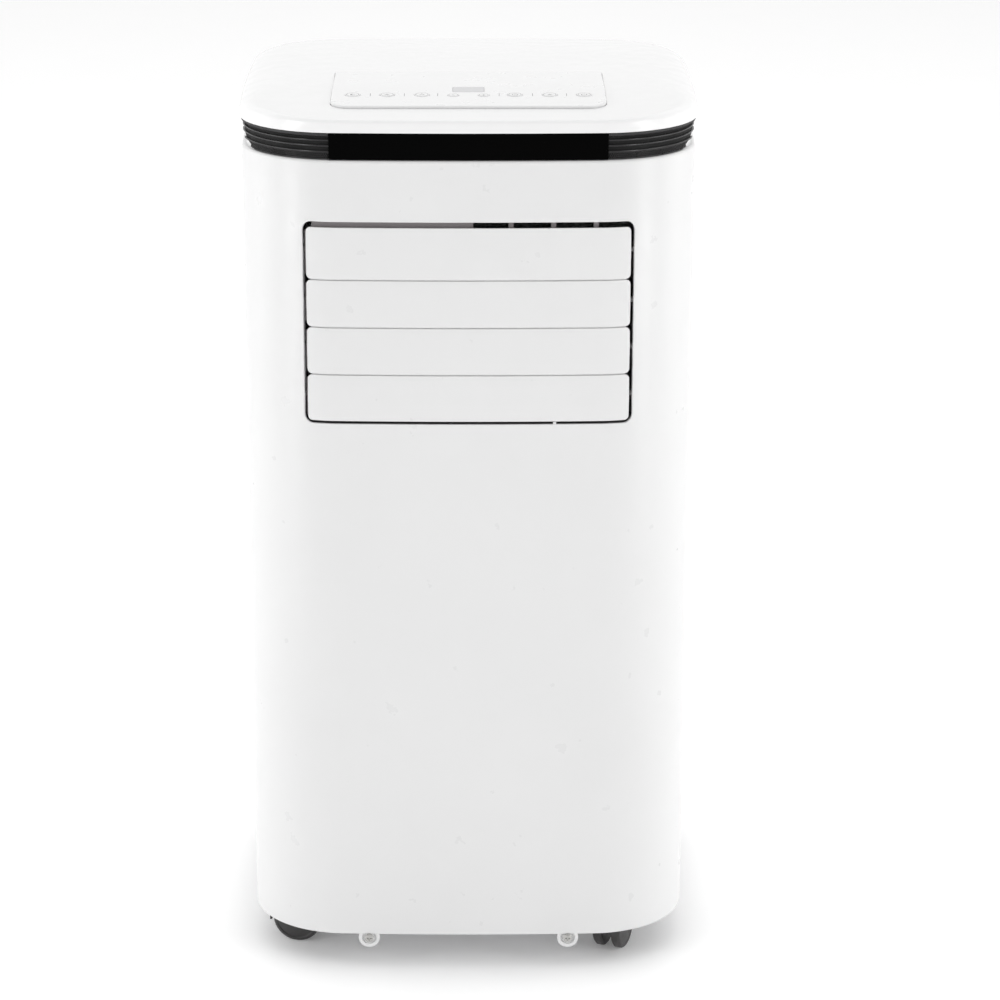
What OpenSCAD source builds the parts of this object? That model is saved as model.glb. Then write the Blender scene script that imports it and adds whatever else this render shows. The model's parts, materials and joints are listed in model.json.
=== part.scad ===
// Portable air conditioner: a tower on four twin-wheel casters, with four coupled
// louvres in front, pull-out filter grilles behind and the cooling circuit inside.
// +Z is up, the front faces -Y, and the origin is on the floor below the middle.

/* [Cabinet] */
// Width across the lid, the widest piece
lid_w = 355; // [340:1:370]
// Depth across the lid
lid_d = 345; // [335:1:360]
// Height from the floor to the top of the lid
total_h = 703; // [700:1:706]
// Height of the cabinet's lower edge above the floor
body_z0 = 29; // [28:0.5:30]
// Height of the cabinet's shoulder, below the dark band
body_z1 = 663; // [662:0.5:664]
// Height of the lid's lower edge
lid_z0 = 684; // [683:0.5:685]
// Radius of the cabinet's upright corners
corner_r = 78; // [76:1:80]
// Radius of the slight bow of the front and back faces
bow_front = 2200; // [2000:50:2600]
// Radius of the slight bow of the side faces
bow_side = 3200; // [3000:50:3600]
// Wall thickness of the moulded shells
wall = 2.5; // [2.2:0.1:2.8]
// Distance of the seam between front and rear shell behind the middle
seam_y = 75; // [72:1:78]

/* [Louvres] */
// Half the width of the louvre window
window_x = 126; // [125:0.5:127]
// Height of the window's lower edge
window_z0 = 457.2; // [456.8:0.1:457.6]
// Height of the window's upper edge
window_z1 = 615.6; // [615:0.1:617]
// Height of the lowest louvre's lower edge
louver_z0 = 459.3; // [459:0.1:459.6]
// Spacing of the three lower louvres
louver_pitch = 37.2; // [37:0.1:37.3]
// Height of the top louvre, which is the tallest
louver_top_h = 40.3; // [39.5:0.1:40.5]
// Distance from the middle plane to the louvres' pivot line
louver_pivot_y = 152; // [151:0.5:153]
// Radius of the crank that the link bar drives
crank_r = 9; // [8.5:0.1:9.5]

/* [Controls] */
// Slope of the control pad towards the front, in degrees
pad_tilt = 4; // [3.6:0.1:4.2]
// Half the width of the control pad
pad_x = 105; // [103:0.5:107]
// Radius of a key
key_r = 5.8; // [5.4:0.1:6]

/* [Casters] */
// Distance of a caster's swivel pin from the middle, sideways
caster_x = 124; // [123:0.5:125]
// Distance of a caster's swivel pin from the middle, front to back
caster_y = 112; // [111:0.5:113]
// Radius of a caster wheel
wheel_r = 20; // [19.5:0.5:20]
// Distance from the swivel pin back to the axle
trail = 15; // [14:0.5:15.5]

/* [Air outlets] */
// Radius of the exhaust outlet's bore
exhaust_r = 75; // [74:0.5:76]
// Height of the exhaust outlet's centre
exhaust_z = 330; // [328:1:332]

/* [Hidden] */
inset = 1.5;                         // the cabinet stands this far inside the lid
neck_inset = 5.2;                    // and the neck under the lid this far
gap = 0.7;                           // clearance round a piece that moves
run_fit = 0.05;                      // radial clearance of a running fit
far = 400;                           // longer than the cabinet is wide

// Plan outline: two bowed faces, two bowed sides and four tangent corner arcs
face_c = [0, bow_front - lid_d / 2];
side_c = [lid_w / 2 - bow_side, 0];
centre_gap = norm(side_c - face_c);
to_side = (side_c - face_c) / centre_gap;
face_reach = bow_front - corner_r;
side_reach = bow_side - corner_r;
along = (pow(face_reach, 2) - pow(side_reach, 2) + pow(centre_gap, 2)) / (2 * centre_gap);
across = sqrt(pow(face_reach, 2) - pow(along, 2));
corner_c = face_c + along * to_side + across * [-to_side.y, to_side.x];
to_face_tangent = (corner_c - face_c) / face_reach;
to_side_tangent = (corner_c - side_c) / side_reach;

// Lid: a dome across the depth, and the control pad's flat on it
dome_r = 1970;
dome_y = 20;
pad_front_y = -139;
pad_back_y = -20;
pad_front_z = total_h - 4.3;
key_y = -106;
small_key_y = -107.5;
display_y = -90;
key_xs = [-88.5, -62.2, -35.6, 35.6, 62.2, 88.5];
small_key_xs = [-11.7, 11.7];
board_z = 687;

// Louvres: heights from the top louvre down
louver_gap = 0.8;
louver_h = louver_pitch - louver_gap;
louver_top_z0 = louver_z0 + 3 * louver_pitch;
function louver_low(i) = i == 1 ? louver_top_z0 : louver_z0 + (4 - i) * louver_pitch;
function louver_tall(i) = i == 1 ? louver_top_h : louver_h;
function louver_mid(i) = louver_low(i) + louver_tall(i) / 2;
louver_x = 123.3;
crank_deg = 30;
crank_y = crank_r * cos(crank_deg) - louver_pivot_y;
crank_dz = crank_r * sin(crank_deg);
frame_x = 129;                       // inner half width of the louvre frame
frame_wall = 3.5;
frame_z0 = 455.5;
frame_z1 = 620;
frame_back_y = -128;
guard_pitch = 32.3;

// Casters: the angle of each trail, seen from above
caster_trail_deg = [168, 249, 60, 205];
caster_sx = [-1, 1, 1, -1];
caster_sy = [-1, -1, 1, 1];
hood_r = 22.5;
collar_top = 48;
well_top = 49;
well_r = 43.5;
pin_r = 5;

// Rooms inside the cabinet
tray_z0 = 31;
tray_floor = 34;
tray_top = 62;
deck_z = 412;
compressor_xy = [-80, -50];
compressor_r = 55;
foot_deg = [90, 210, 330];
foot_r = 68;
foot_z = 56;
lower_fan = [45, 160];
upper_fan = [0, 505];
coil_y0 = 118;
coil_d = 24;
filter_x = 127;
upper_filter_z = [430, 632];
lower_filter_z = [78, 236];
gland_xz = [85, 250];
drain_xz = [60, 47];
splash_xz = [-30, 60];
float_xy = [40, -110];
handle_y = 12;
handle_z = 592;
tab_x = 80;
tab_z = 26;
rear_screws = [[-115, 70], [115, 70], [-115, 421], [115, 421], [-115, 647], [115, 647]];

// ---------------------------------------------------------------- shared shapes

// One sharp corner outside its tangent arc, at front right
module corner_scrap(t) {
    difference() {
        polygon([
            corner_c,
            corner_c + 150 * to_face_tangent,
            corner_c + 150 * (to_face_tangent + to_side_tangent),
            corner_c + 150 * to_side_tangent
        ]);
        translate(corner_c) circle(r = corner_r - t, $fn = 120);
    }
}

// Plan outline of the lid, moved inwards by t
module plan(t = 0) {
    difference() {
        intersection() {
            translate(face_c) circle(r = bow_front - t, $fn = 720);
            translate(-face_c) circle(r = bow_front - t, $fn = 720);
            translate(side_c) circle(r = bow_side - t, $fn = 900);
            translate(-side_c) circle(r = bow_side - t, $fn = 900);
        }
        for (sx = [0, 1], sy = [0, 1])
            mirror([sx, 0]) mirror([0, sy]) corner_scrap(t);
    }
}

// A solid of the plan outline between two heights
module slab(t, z0, z1) {
    translate([0, 0, z0]) linear_extrude(z1 - z0) plan(t);
}

// A wall that follows the plan outline
module ring(t_out, t_in, z0, z1) {
    difference() {
        slab(t_out, z0, z1);
        slab(t_in, z0 - 1, z1 + 1);
    }
}

// A box given by its low and high corners
module block(low, high) {
    translate(low) cube(high - low);
}

// A rod along Y from y0 to y1, at [x, z]
module rod_y(xz, y0, y1, r) {
    translate([xz.x, y1, xz.y]) rotate([90, 0, 0]) cylinder(r = r, h = y1 - y0, $fn = 72);
}

// A rod along X from x0 to x1, at [y, z]
module rod_x(x0, x1, yz, r) {
    translate([x0, yz.x, yz.y]) rotate([0, 90, 0]) cylinder(r = r, h = x1 - x0, $fn = 48);
}

// A rectangle with round corners, standing in the XZ plane from y0 to y1
module upright_plate(x0, x1, z0, z1, r, y0, y1) {
    translate([0, y1, 0]) rotate([90, 0, 0]) linear_extrude(y1 - y0)
        rounded(x0, x1, z0, z1, r);
}

// A rectangle with round corners made from plain circles and squares
module rounded(x0, x1, z0, z1, r) {
    translate([x0 + r, z0]) square([x1 - x0 - 2 * r, z1 - z0]);
    translate([x0, z0 + r]) square([x1 - x0, z1 - z0 - 2 * r]);
    for (x = [x0 + r, x1 - r], z = [z0 + r, z1 - r])
        translate([x, z]) circle(r = r, $fn = 48);
}

// Everything below the lid's dome, grown by t
module dome(t = 0) {
    r = dome_r + t;
    arch = [for (a = [84 : 0.25 : 96]) [dome_y + r * cos(a), total_h - dome_r + r * sin(a)]];
    rotate([90, 0, 90]) translate([0, 0, -far / 2]) linear_extrude(far)
        polygon(concat(arch, [[-far / 2, 600], [far / 2, 600]]));
}

// Everything below the control pad's face, moved up by t: a slope, then a flat
module below_pad(t = 0) {
    rise = (pad_back_y - pad_front_y) * tan(pad_tilt);
    intersection() {
        rotate([90, 0, 90]) translate([0, 0, -far / 2]) linear_extrude(far)
            polygon([
                [pad_front_y - 20, 640],
                [pad_front_y - 20, pad_front_z + t - 20 * tan(pad_tilt)],
                [pad_back_y, pad_front_z + t + rise],
                [far / 2, pad_front_z + t + rise],
                [far / 2, 640]
            ]);
        block([-far, -far, 640], [far, far, total_h + t]);
    }
}

// A run of pipe through a list of points
module pipe(points, r) {
    for (i = [1 : len(points) - 1]) {
        run = points[i] - points[i - 1];
        translate(points[i - 1])
            rotate([0, acos(run.z / norm(run)), atan2(run.y, run.x)])
                cylinder(r = r, h = norm(run), $fn = 24);
        if (i < len(points) - 1) translate(points[i]) sphere(r = r * 1.15, $fn = 24);
    }
}

// ---------------------------------------------------------------- cabinet

// Both shells in one: straight walls, a shoulder and the narrower neck
module cabinet() {
    difference() {
        union() {
            slab(inset, body_z0, body_z1);
            slab(neck_inset, body_z1 - 1, lid_z0);
        }
        slab(inset + wall, body_z0 - 1, body_z1 - wall);
        slab(neck_inset + wall, body_z1 - wall - 1, lid_z0 + 1);
    }
}

module front_panel() {
    color("white") {
        difference() {
            intersection() {
                cabinet();
                block([-far, -far, 0], [far, seam_y, lid_z0]);
            }
            upright_plate(-window_x, window_x, window_z0, window_z1, 7, -200, -120);
            for (side = [-1, 1]) handle_hole(side);
            for (side = [-1, 1]) screw_hole([side * tab_x, tab_z]);
        }
        for (side = [-1, 1]) screw_tab(side * tab_x);
    }
}

module screw_hole(xz) {
    rod_y(xz, -180, -150, 2.1);
}

// Round tab under the front edge, with the hole of its screw
module screw_tab(x) {
    difference() {
        rod_y([x, tab_z], -169.3, -167.1, 8.5);
        screw_hole([x, tab_z]);
    }
}

module rear_panel() {
    color("white")
        difference() {
            intersection() {
                cabinet();
                block([-far, seam_y + 0.4, 0], [far, far, lid_z0]);
            }
            for (z = [upper_filter_z, lower_filter_z])
                upright_plate(-filter_x, filter_x, z[0], z[1], 8, 120, 200);
            rod_y([0, exhaust_z], 140, 200, exhaust_r + 4.4);
            rod_y(gland_xz, 150, 200, 8.3);
            rod_y(drain_xz, 150, 200, 11);
            for (p = rear_screws) rod_y(p, 60, 200, 2.1);
        }
}

module base_tray() {
    color("gainsboro")
        difference() {
            union() {
                difference() {
                    slab(inset + wall + 0.6, tray_z0, tray_top);
                    slab(inset + wall + 2.6, tray_floor, tray_top + 1);
                }
                intersection() {
                    slab(inset + wall + 0.6, tray_z0, 80);
                    for (i = [0 : 3]) caster_well(i);
                }
                for (a = foot_deg)
                    translate(concat(foot_xy(a), [tray_z0])) cylinder(r = 12, h = foot_z - tray_z0);
                for (side = [-1, 1])
                    block([side * tab_x - 7, -166.2, 18.5], [side * tab_x + 7, -148, 32]);
                rod_y(drain_xz, 150, 167, 9);
                translate([float_xy.x, float_xy.y, tray_z0]) cylinder(r = 2, h = 29);
            }
            for (i = [0 : 3]) caster_hollow(i);
            for (side = [-1, 1]) rod_y([side * tab_x, tab_z], -170, -152, 1.95);
            rod_y(drain_xz, 140, 170, 6);
            for (a = foot_deg)
                translate(concat(foot_xy(a), [40])) cylinder(r = 3, h = 20, $fn = 48);
        }
}

function foot_xy(a) = compressor_xy + foot_r * [cos(a), sin(a)];

// Raised pocket over a caster, with the socket of its swivel pin
module caster_well(i) {
    translate([caster_sx[i] * caster_x, caster_sy[i] * caster_y, 0]) {
        translate([0, 0, tray_z0]) cylinder(r = well_r + 2.5, h = well_top + 3 - tray_z0, $fn = 120);
        cylinder(r = pin_r + 4, h = 68, $fn = 72);
    }
}

module caster_hollow(i) {
    translate([caster_sx[i] * caster_x, caster_sy[i] * caster_y, 0]) {
        cylinder(r = well_r, h = well_top, $fn = 120);
        cylinder(r = pin_r + run_fit, h = 65, $fn = 72);
    }
}

// Points on the plan outline, for the rounded shoulder of the lid
function arc_points(c, r, a0, a1, n) =
    [for (i = [0 : n]) c + r * [cos(a0 + (a1 - a0) * i / n), sin(a0 + (a1 - a0) * i / n)]];
function quarter(t) = concat(
    arc_points(face_c, bow_front - t, -90, atan2(to_face_tangent.y, to_face_tangent.x), 4),
    arc_points(corner_c, corner_r - t, atan2(to_face_tangent.y, to_face_tangent.x),
        atan2(to_side_tangent.y, to_side_tangent.x), 12),
    arc_points(side_c, bow_side - t, atan2(to_side_tangent.y, to_side_tangent.x), 0, 4));
function mirrored(points, m) = [for (p = points) [p.x * m.x, p.y * m.y]];

module lid_slice(t, z) {
    for (m = [[1, 1], [-1, 1], [1, -1], [-1, -1]])
        translate([0, 0, z]) linear_extrude(0.2)
            polygon(concat([[0, 0]], mirrored(quarter(t), m)));
}

module top_cover() {
    color("white")
        difference() {
            intersection() {
                hull() {
                    for (s = [[0, 0], [0, 7], [1, 9.6], [4, 12.4], [10, 15], [24, 17.4], [60, 18.8]])
                        lid_slice(s[0], lid_z0 + s[1]);
                }
                dome();
            }
            slab(9, lid_z0 - 1, lid_z0 + 3);
            slab(wall, lid_z0 + 2, lid_z0 + 6.5);
            slab(6, lid_z0 + 6, lid_z0 + 9);
            slab(14, lid_z0 + 8.5, lid_z0 + 11);
            intersection() {
                slab(32, lid_z0 + 10.5, total_h);
                dome(-4);
            }
            difference() {
                translate([0, 0, 690]) linear_extrude(total_h - 689) pad_outline(0.15);
                below_pad(-3.1);
            }
            block([-pad_x + 5, pad_front_y + 5, lid_z0], [pad_x - 5, -62, total_h + 1]);
        }
}

// The stretch of the neck that the dark band covers, cut slanting at its ends
module band_zone() {
    rotate([90, 0, 90]) translate([0, 0, -far / 2]) linear_extrude(far)
        polygon([[-200, body_z1 + 0.3], [-132, body_z1 + 0.3], [-62, lid_z0 - 0.3], [-200, lid_z0 - 0.3]]);
}

module vent_band() {
    band_in = neck_inset - 0.1;
    color([0.06, 0.06, 0.07])
        difference() {
            intersection() {
                union() {
                    ring(4, band_in, body_z1 + 0.3, lid_z0 - 0.3);
                    for (z = [668.5, 673, 677.2]) ring(2.4, band_in, z, z + 1.4);
                    ring(0.8, band_in, lid_z0 - 4, lid_z0 - 0.3);
                    ring(3, band_in, body_z1 + 0.3, body_z1 + 2.2);
                }
                band_zone();
            }
            block([-pad_x - 0.3, -200, body_z1], [pad_x + 0.3, -100, lid_z0]);
        }
}

module ir_window() {
    color([0.02, 0.02, 0.02])
        intersection() {
            ring(2, neck_inset - 0.1, body_z1 + 0.3, lid_z0 - 0.3);
            block([-pad_x, -200, 0], [pad_x, -100, total_h]);
        }
}

module handle_hole(side) {
    block([side * 176 - 12, handle_y - 55, handle_z - 17], [side * 176 + 12, handle_y + 55, handle_z + 17]);
}

// Recessed grip cup on each side, with a thin flange outside the shell
module side_handles() {
    color("white")
        for (side = [0, 1]) mirror([side, 0, 0]) {
            intersection() {
                ring(0.4, inset - 0.05, handle_z - 22, handle_z + 22);
                difference() {
                    block([160, handle_y - 60, handle_z - 22], [180, handle_y + 60, handle_z + 22]);
                    block([150, handle_y - 52, handle_z - 14], [190, handle_y + 52, handle_z + 14]);
                }
            }
            difference() {
                block([146, handle_y - 54.5, handle_z - 16.5], [176.3, handle_y + 54.5, handle_z + 16.5]);
                block([148.5, handle_y - 52, handle_z - 14], [180, handle_y + 52, handle_z + 14]);
            }
        }
}

// ---------------------------------------------------------------- controls

// Outline of the control pad, grown by t, with round front corners
module pad_outline(t = 0) {
    r = 15 + t;
    x = pad_x + t;
    y = pad_front_y - t;
    translate([-x + r, y]) square([2 * (x - r), 40]);
    translate([-x, y + r]) square([2 * x, pad_back_y + t - y - r]);
    for (side = [-1, 1]) translate([side * (x - r), y + r]) circle(r = r, $fn = 72);
}

module control_pad() {
    color("white")
        difference() {
            union() {
                difference() {
                    intersection() {
                        translate([0, 0, 690]) linear_extrude(total_h - 690) pad_outline();
                        below_pad();
                    }
                    below_pad(-3);
                }
                intersection() {
                    for (x = [-92, 92], y = [-126, -72])
                        translate([x, y, board_z + 1.6]) cylinder(r = 2.5, h = 16, $fn = 36);
                    below_pad(-1);
                }
            }
            for (i = [1 : 8]) translate([key_at(i).x, key_at(i).y, 680])
                cylinder(r = key_size(i) + 0.35, h = 40, $fn = 72);
            block([-12.2, display_y - 8.2, 680], [12.2, display_y + 8.2, 720]);
        }
}

function key_at(i) = i <= 6 ? [key_xs[i - 1], key_y] : [small_key_xs[i - 7], small_key_y];
function key_size(i) = i <= 6 ? key_r : 4.2;

// A key: a flush cap with a flange that keeps it in its hole
module key(i) {
    color("whitesmoke")
        intersection() {
            translate([key_at(i).x, key_at(i).y, 0]) {
                translate([0, 0, 692.6]) cylinder(r = key_size(i), h = 12, $fn = 72);
                translate([0, 0, 692.6]) cylinder(r = key_size(i) + 1, h = 1.4, $fn = 72);
            }
            below_pad(0.35);
        }
}

module display_window() {
    color([0.16, 0.17, 0.19])
        difference() {
            intersection() {
                block([-12, display_y - 8, 692], [12, display_y + 8, 710]);
                below_pad(0.05);
            }
            below_pad(-2);
        }
}

module display_board() {
    color("darkgreen") {
        difference() {
            block([-97, -130, board_z], [97, -66, board_z + 1.6]);
            for (x = [-84, 84], y = [-122, -76])
                translate([x, y, board_z - 1]) cylinder(r = 1.6, h = 4, $fn = 36);
        }
        for (i = [1 : 8])
            block([key_at(i).x - 3, key_at(i).y - 3, board_z + 1.6],
                [key_at(i).x + 3, key_at(i).y + 3, board_z + 4.4]);
        block([-11, display_y - 7, board_z + 1.6], [11, display_y + 7, board_z + 8]);
    }
}

// ---------------------------------------------------------------- louvres

module louver_frame() {
    outer_x = frame_x + frame_wall;
    color([0.2, 0.2, 0.21]) {
        difference() {
            intersection() {
                slab(inset + wall + 0.3, frame_z0 - frame_wall, frame_z1 + frame_wall);
                block([-outer_x, -175, frame_z0 - frame_wall], [outer_x, frame_back_y, frame_z1 + frame_wall]);
            }
            block([-frame_x, -180, frame_z0], [frame_x, -100, frame_z1]);
            for (i = [1 : 4])
                rod_x(-140, 140, [-louver_pivot_y, louver_mid(i)], 2 + run_fit);
        }
        for (i = [-3 : 3])
            block([i * guard_pitch - 1.8, -136, frame_z0 - 1], [i * guard_pitch + 1.8, -130, frame_z1 + 1]);
    }
}

// A louvre: a bowed blade, two end plates, its pivot pins and its crank pin
module louver(i) {
    z0 = louver_low(i);
    z1 = z0 + louver_tall(i);
    mid = louver_mid(i);
    pin_end = i == 2 ? 139 : frame_x + 3;
    color("white") {
        intersection() {
            ring(inset, inset + 3, z0, z1);
            upright_plate(-louver_x, louver_x, z0, z1, 3, -200, -120);
        }
        for (end = [1 - louver_x, louver_x - 1]) {
            block([end - 1, -163, mid - 5], [end + 1, -louver_pivot_y, mid + 5]);
            rod_x(end - 1, end + 1, [-louver_pivot_y, mid], 5);
        }
        rod_x(louver_x - 1, pin_end, [-louver_pivot_y, mid], 2);
        rod_x(-frame_x - 3, -louver_x + 1, [-louver_pivot_y, mid], 2);
        crank_arm(mid);
        rod_x(-louver_x - 5, -louver_x + 1, [crank_y, mid + crank_dz], 1.25);
    }
}

// The arm on the left end plate that carries the crank pin
module crank_arm(mid) {
    translate([-louver_x, -louver_pivot_y, mid]) rotate([crank_deg, 0, 0])
        block([0, 0, -2.5], [2, crank_r, 2.5]);
    rod_x(-louver_x, -louver_x + 2, [crank_y, mid + crank_dz], 2.5);
}

module louver_link() {
    x0 = -louver_x - 4;
    color("silver")
        difference() {
            block([x0, crank_y - 3, louver_mid(4) + crank_dz - 4],
                [x0 + 2.2, crank_y + 3, louver_mid(1) + crank_dz + 4]);
            for (i = [1 : 4])
                rod_x(x0 - 1, x0 + 4, [crank_y, louver_mid(i) + crank_dz], i == 1 ? 1.25 + run_fit : 1.65);
        }
}

// Geared stepper that turns the second louvre
module swing_motor() {
    color("lightsteelblue")
        difference() {
            union() {
                rod_x(frame_x + frame_wall + 0.4, 150, [-louver_pivot_y + 7, louver_mid(2)], 14);
                block([frame_x + frame_wall + 0.4, -louver_pivot_y + 3, louver_mid(2) - 21],
                    [frame_x + frame_wall + 1.4, -louver_pivot_y + 11, louver_mid(2) + 21]);
            }
            rod_x(120, 141, [-louver_pivot_y, louver_mid(2)], 2 + run_fit);
            slab_outside(inset + wall + 1);
        }
}

// Everything outside the plan outline moved in by t
module slab_outside(t) {
    difference() {
        block([-300, -300, 0], [300, 300, total_h]);
        slab(t, -1, total_h + 1);
    }
}

// Plenum that turns the blown air forward to the louvres
module air_duct() {
    t = 2;
    color("whitesmoke")
        difference() {
            union() {
                block([-132, frame_back_y + 0.4, 450], [132, -4, 626]);
                block([-40, -6, 592], [100, 112, 626]);
            }
            block([-132 + t, -200, 450 + t], [132 - t, -4 - t, 626 - t]);
            block([-40 + t, -10, 592 + t], [100 - t, 112 - t, 626 - t]);
            block([18, 50, 585], [82, 108, 600]);
        }
}

// ---------------------------------------------------------------- air movers

// Volute of a blower: a growing round case with an upward outlet
module volute(xz, r, outlet_x, outlet_z, t) {
    translate(xz) circle(r = r - t, $fn = 96);
    translate([xz.x + outlet_x[0] + t, xz.y]) square([outlet_x[1] - outlet_x[0] - 2 * t, outlet_z - xz.y]);
}

module scroll(xz, r, outlet_x, outlet_z, inlet_r, y0, y1) {
    difference() {
        translate([0, y1, 0]) rotate([90, 0, 0]) linear_extrude(y1 - y0)
            volute(xz, r, outlet_x, outlet_z, 0);
        translate([0, y1 - 2, 0]) rotate([90, 0, 0]) linear_extrude(y1 - y0 - 4)
            volute(xz, r, outlet_x, outlet_z + 5, 2);
        rod_y(xz, y1 - 5, y1 + 5, inlet_r);
        rod_y(xz, y0 - 5, y0 + 5, 14);
    }
}

// Forward-curved blower wheel with its back plate, hub and stub shaft
module blower_wheel(xz, r, y0, y1, count, shaft_y0) {
    difference() {
        union() {
            rod_y(xz, y0, y0 + 2.5, r);
            rod_y(xz, y1 - 3, y1, r);
            rod_y(xz, y0, y0 + 16, 11);
            translate([0, y1, 0]) rotate([90, 0, 0]) linear_extrude(y1 - y0)
                for (i = [0 : count - 1])
                    translate(xz) rotate(i * 360 / count) translate([r - 13, -1]) rotate(18) square([12, 2]);
        }
        rod_y(xz, y1 - 4, y1 + 1, r - 14);
    }
    rod_y(xz, shaft_y0, y0 + 1, 4);
}

// Motor can with a front boss and four ears
module fan_motor(xz, r, y0, y1) {
    difference() {
        union() {
            rod_y(xz, y0, y1, r);
            for (a = [45 : 90 : 315])
                rod_y(xz + (r + 3) * [cos(a), sin(a)], y1 - 3, y1, 6);
        }
        rod_y(xz, y1 - 20, y1 + 1, 4 + run_fit);
    }
}

module upper_scroll() {
    color("whitesmoke") scroll(upper_fan, 86, [20, 80], 590, 52, 47, 112);
}

module upper_wheel() {
    color("dimgray") blower_wheel(upper_fan, 62, 56, 106, 24, 30);
}

module upper_motor() {
    color("silver") fan_motor(upper_fan, 38, 2, 45);
}

module lower_scroll() {
    color("whitesmoke") scroll(lower_fan, 86, [20, 80], 258, 52, 52, 112);
}

module lower_wheel() {
    color("dimgray") blower_wheel(lower_fan, 62, 61, 106, 24, 35);
}

module lower_motor() {
    color("silver") fan_motor(lower_fan, 40, 6, 50);
}

// Box that turns the hot air back to the exhaust outlet, with a finger guard
module exhaust_duct() {
    t = 2;
    color("whitesmoke") {
        difference() {
            block([-90, 56, 260], [132, 146, 408]);
            block([-90 + t, 56 + t, 260 + t], [132 - t, 146 - t, 408 - t]);
            rod_y([0, exhaust_z], 130, 160, exhaust_r - 3);
            block([lower_fan.x + 24, 60, 250], [lower_fan.x + 76, 108, 270]);
        }
        for (x = [-45 : 22.5 : 45])
            block([x - 1, 144.2, exhaust_z - sqrt(pow(exhaust_r, 2) - x * x)],
                [x + 1, 146, exhaust_z + sqrt(pow(exhaust_r, 2) - x * x)]);
    }
}

module exhaust_collar() {
    color("whitesmoke")
        difference() {
            union() {
                rod_y([0, exhaust_z], 149, 169, exhaust_r + 3.6);
                rod_y([0, exhaust_z], 146.2, 149.5, exhaust_r + 6.6);
            }
            rod_y([0, exhaust_z], 140, 180, exhaust_r);
        }
}

// ---------------------------------------------------------------- cooling circuit

// Finned coil: end plates, fins, straight tubes and return bends
module coil(x0, x1, z0, z1, tubes) {
    y0 = coil_y0;
    pitch = (z1 - z0) / tubes;
    step = (x1 - x0) / 16;
    for (i = [0 : 16])
        block([x0 + i * step - 1, y0, z0], [x0 + i * step + 1, y0 + coil_d, z1]);
    for (k = [0 : tubes - 1])
        rod_x(x0 - 6, x1 + 6, [y0 + coil_d / 2, z0 + (k + 0.5) * pitch], 4);
    for (k = [0 : tubes - 2]) {
        right = k % 2 == 0;
        translate([right ? x1 + 6 : x0 - 6, y0 + coil_d / 2, z0 + (k + 1) * pitch])
            rotate([90, right ? 90 : -90, 0])
                rotate_extrude(angle = 180, $fn = 72) translate([pitch / 2, 0]) circle(r = 4, $fn = 36);
    }
}

module evaporator() {
    color("silver") coil(-112, 112, 428, 626, 6);
}

module condenser() {
    color("silver") coil(-112, 112, 86, 242, 5);
}

module partition() {
    color("gainsboro")
        difference() {
            union() {
                slab(inset + wall + 0.6, deck_z, deck_z + 3);
                block([-140, 112.6, deck_z], [140, 150, deck_z + 14]);
            }
            block([-138, 114.6, deck_z + 3], [138, 148, deck_z + 20]);
            for (p = [[-150, 60], [-136, 62]]) translate(concat(p, [deck_z - 1])) cylinder(r = 6, h = 10, $fn = 48);
            slab_cut_front();
        }
}

// Keeps the partition out of the louvre frame's space
module slab_cut_front() {
    block([-far, -far, deck_z - 1], [far, -165, deck_z + 4]);
}

module compressor_shell() {
    wall_t = 3;
    z0 = 72;
    z1 = 262;
    color([0.12, 0.12, 0.13])
        difference() {
            union() {
                translate([compressor_xy.x, compressor_xy.y, 0]) {
                    rotate_extrude($fn = 120) can_profile(0, z0, z1);
                    for (a = foot_deg) rotate(a) block([30, -12, 68], [foot_r + 10, 12, 71]);
                    translate([0, 0, 68]) cylinder(r = compressor_r - 4, h = 6, $fn = 96);
                    translate([74, -14, 110]) cylinder(r = 21, h = 120, $fn = 72);
                    block([50, -22, 160], [60, -6, 170]);
                }
            }
            translate([compressor_xy.x, compressor_xy.y, 0])
                rotate_extrude($fn = 120) can_profile(wall_t, z0, z1);
            translate([compressor_xy.x + 74, compressor_xy.y - 14, 112]) cylinder(r = 19, h = 116, $fn = 72);
            for (a = foot_deg) translate(concat(foot_xy(a), [60])) cylinder(r = 5.1, h = 20, $fn = 48);
        }
}

// Half section of the compressor's can, moved in by t, with round edges
module can_profile(t, z0, z1) {
    edge = 12;
    translate([0, z0 + t]) square([compressor_r - edge, z1 - z0 - 2 * t]);
    translate([0, z0 + edge]) square([compressor_r - t, z1 - z0 - 2 * edge]);
    for (z = [z0 + edge, z1 - edge])
        translate([compressor_r - edge, z]) circle(r = edge - t, $fn = 72);
}

module compressor_core() {
    color("dimgray")
        translate([compressor_xy.x, compressor_xy.y, 0]) {
            translate([0, 0, 75]) cylinder(r = 38, h = 70, $fn = 72);
            translate([0, 0, 144]) cylinder(r = 46, h = 76, $fn = 72);
            translate([0, 0, 219]) cylinder(r = 9, h = 18, $fn = 48);
        }
}

// Rubber grommets, each with its stud and nut
module compressor_mounts() {
    color([0.1, 0.1, 0.1])
        for (a = foot_deg) translate(concat(foot_xy(a), [0])) {
            translate([0, 0, foot_z]) cylinder(r = 11, h = 12, $fn = 60);
            translate([0, 0, 41]) cylinder(r = 2.9, h = 40, $fn = 36);
            translate([0, 0, 71]) cylinder(r = 8, h = 5, $fn = 6);
        }
}

module copper_tubes() {
    color([0.72, 0.45, 0.2]) {
        pipe([[-80, -50, 262], [-80, -50, 285], [-80, 36, 285], [-150, 36, 285], [-150, 60, 285],
            [-150, 60, 440], [-150, 130, 440], [-118, 130, 444.5]], 4);
        pipe([[-6, -64, 230], [-6, -64, 300], [-6, 46, 300], [-136, 46, 300], [-136, 62, 300],
            [-136, 62, 424]], 4);
        pipe([[-118, 130, 101.6], [-134, 130, 101.6], [-134, 36, 101.6], [-134, 36, 285]], 3);
    }
}

// ---------------------------------------------------------------- electrics and fittings

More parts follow.
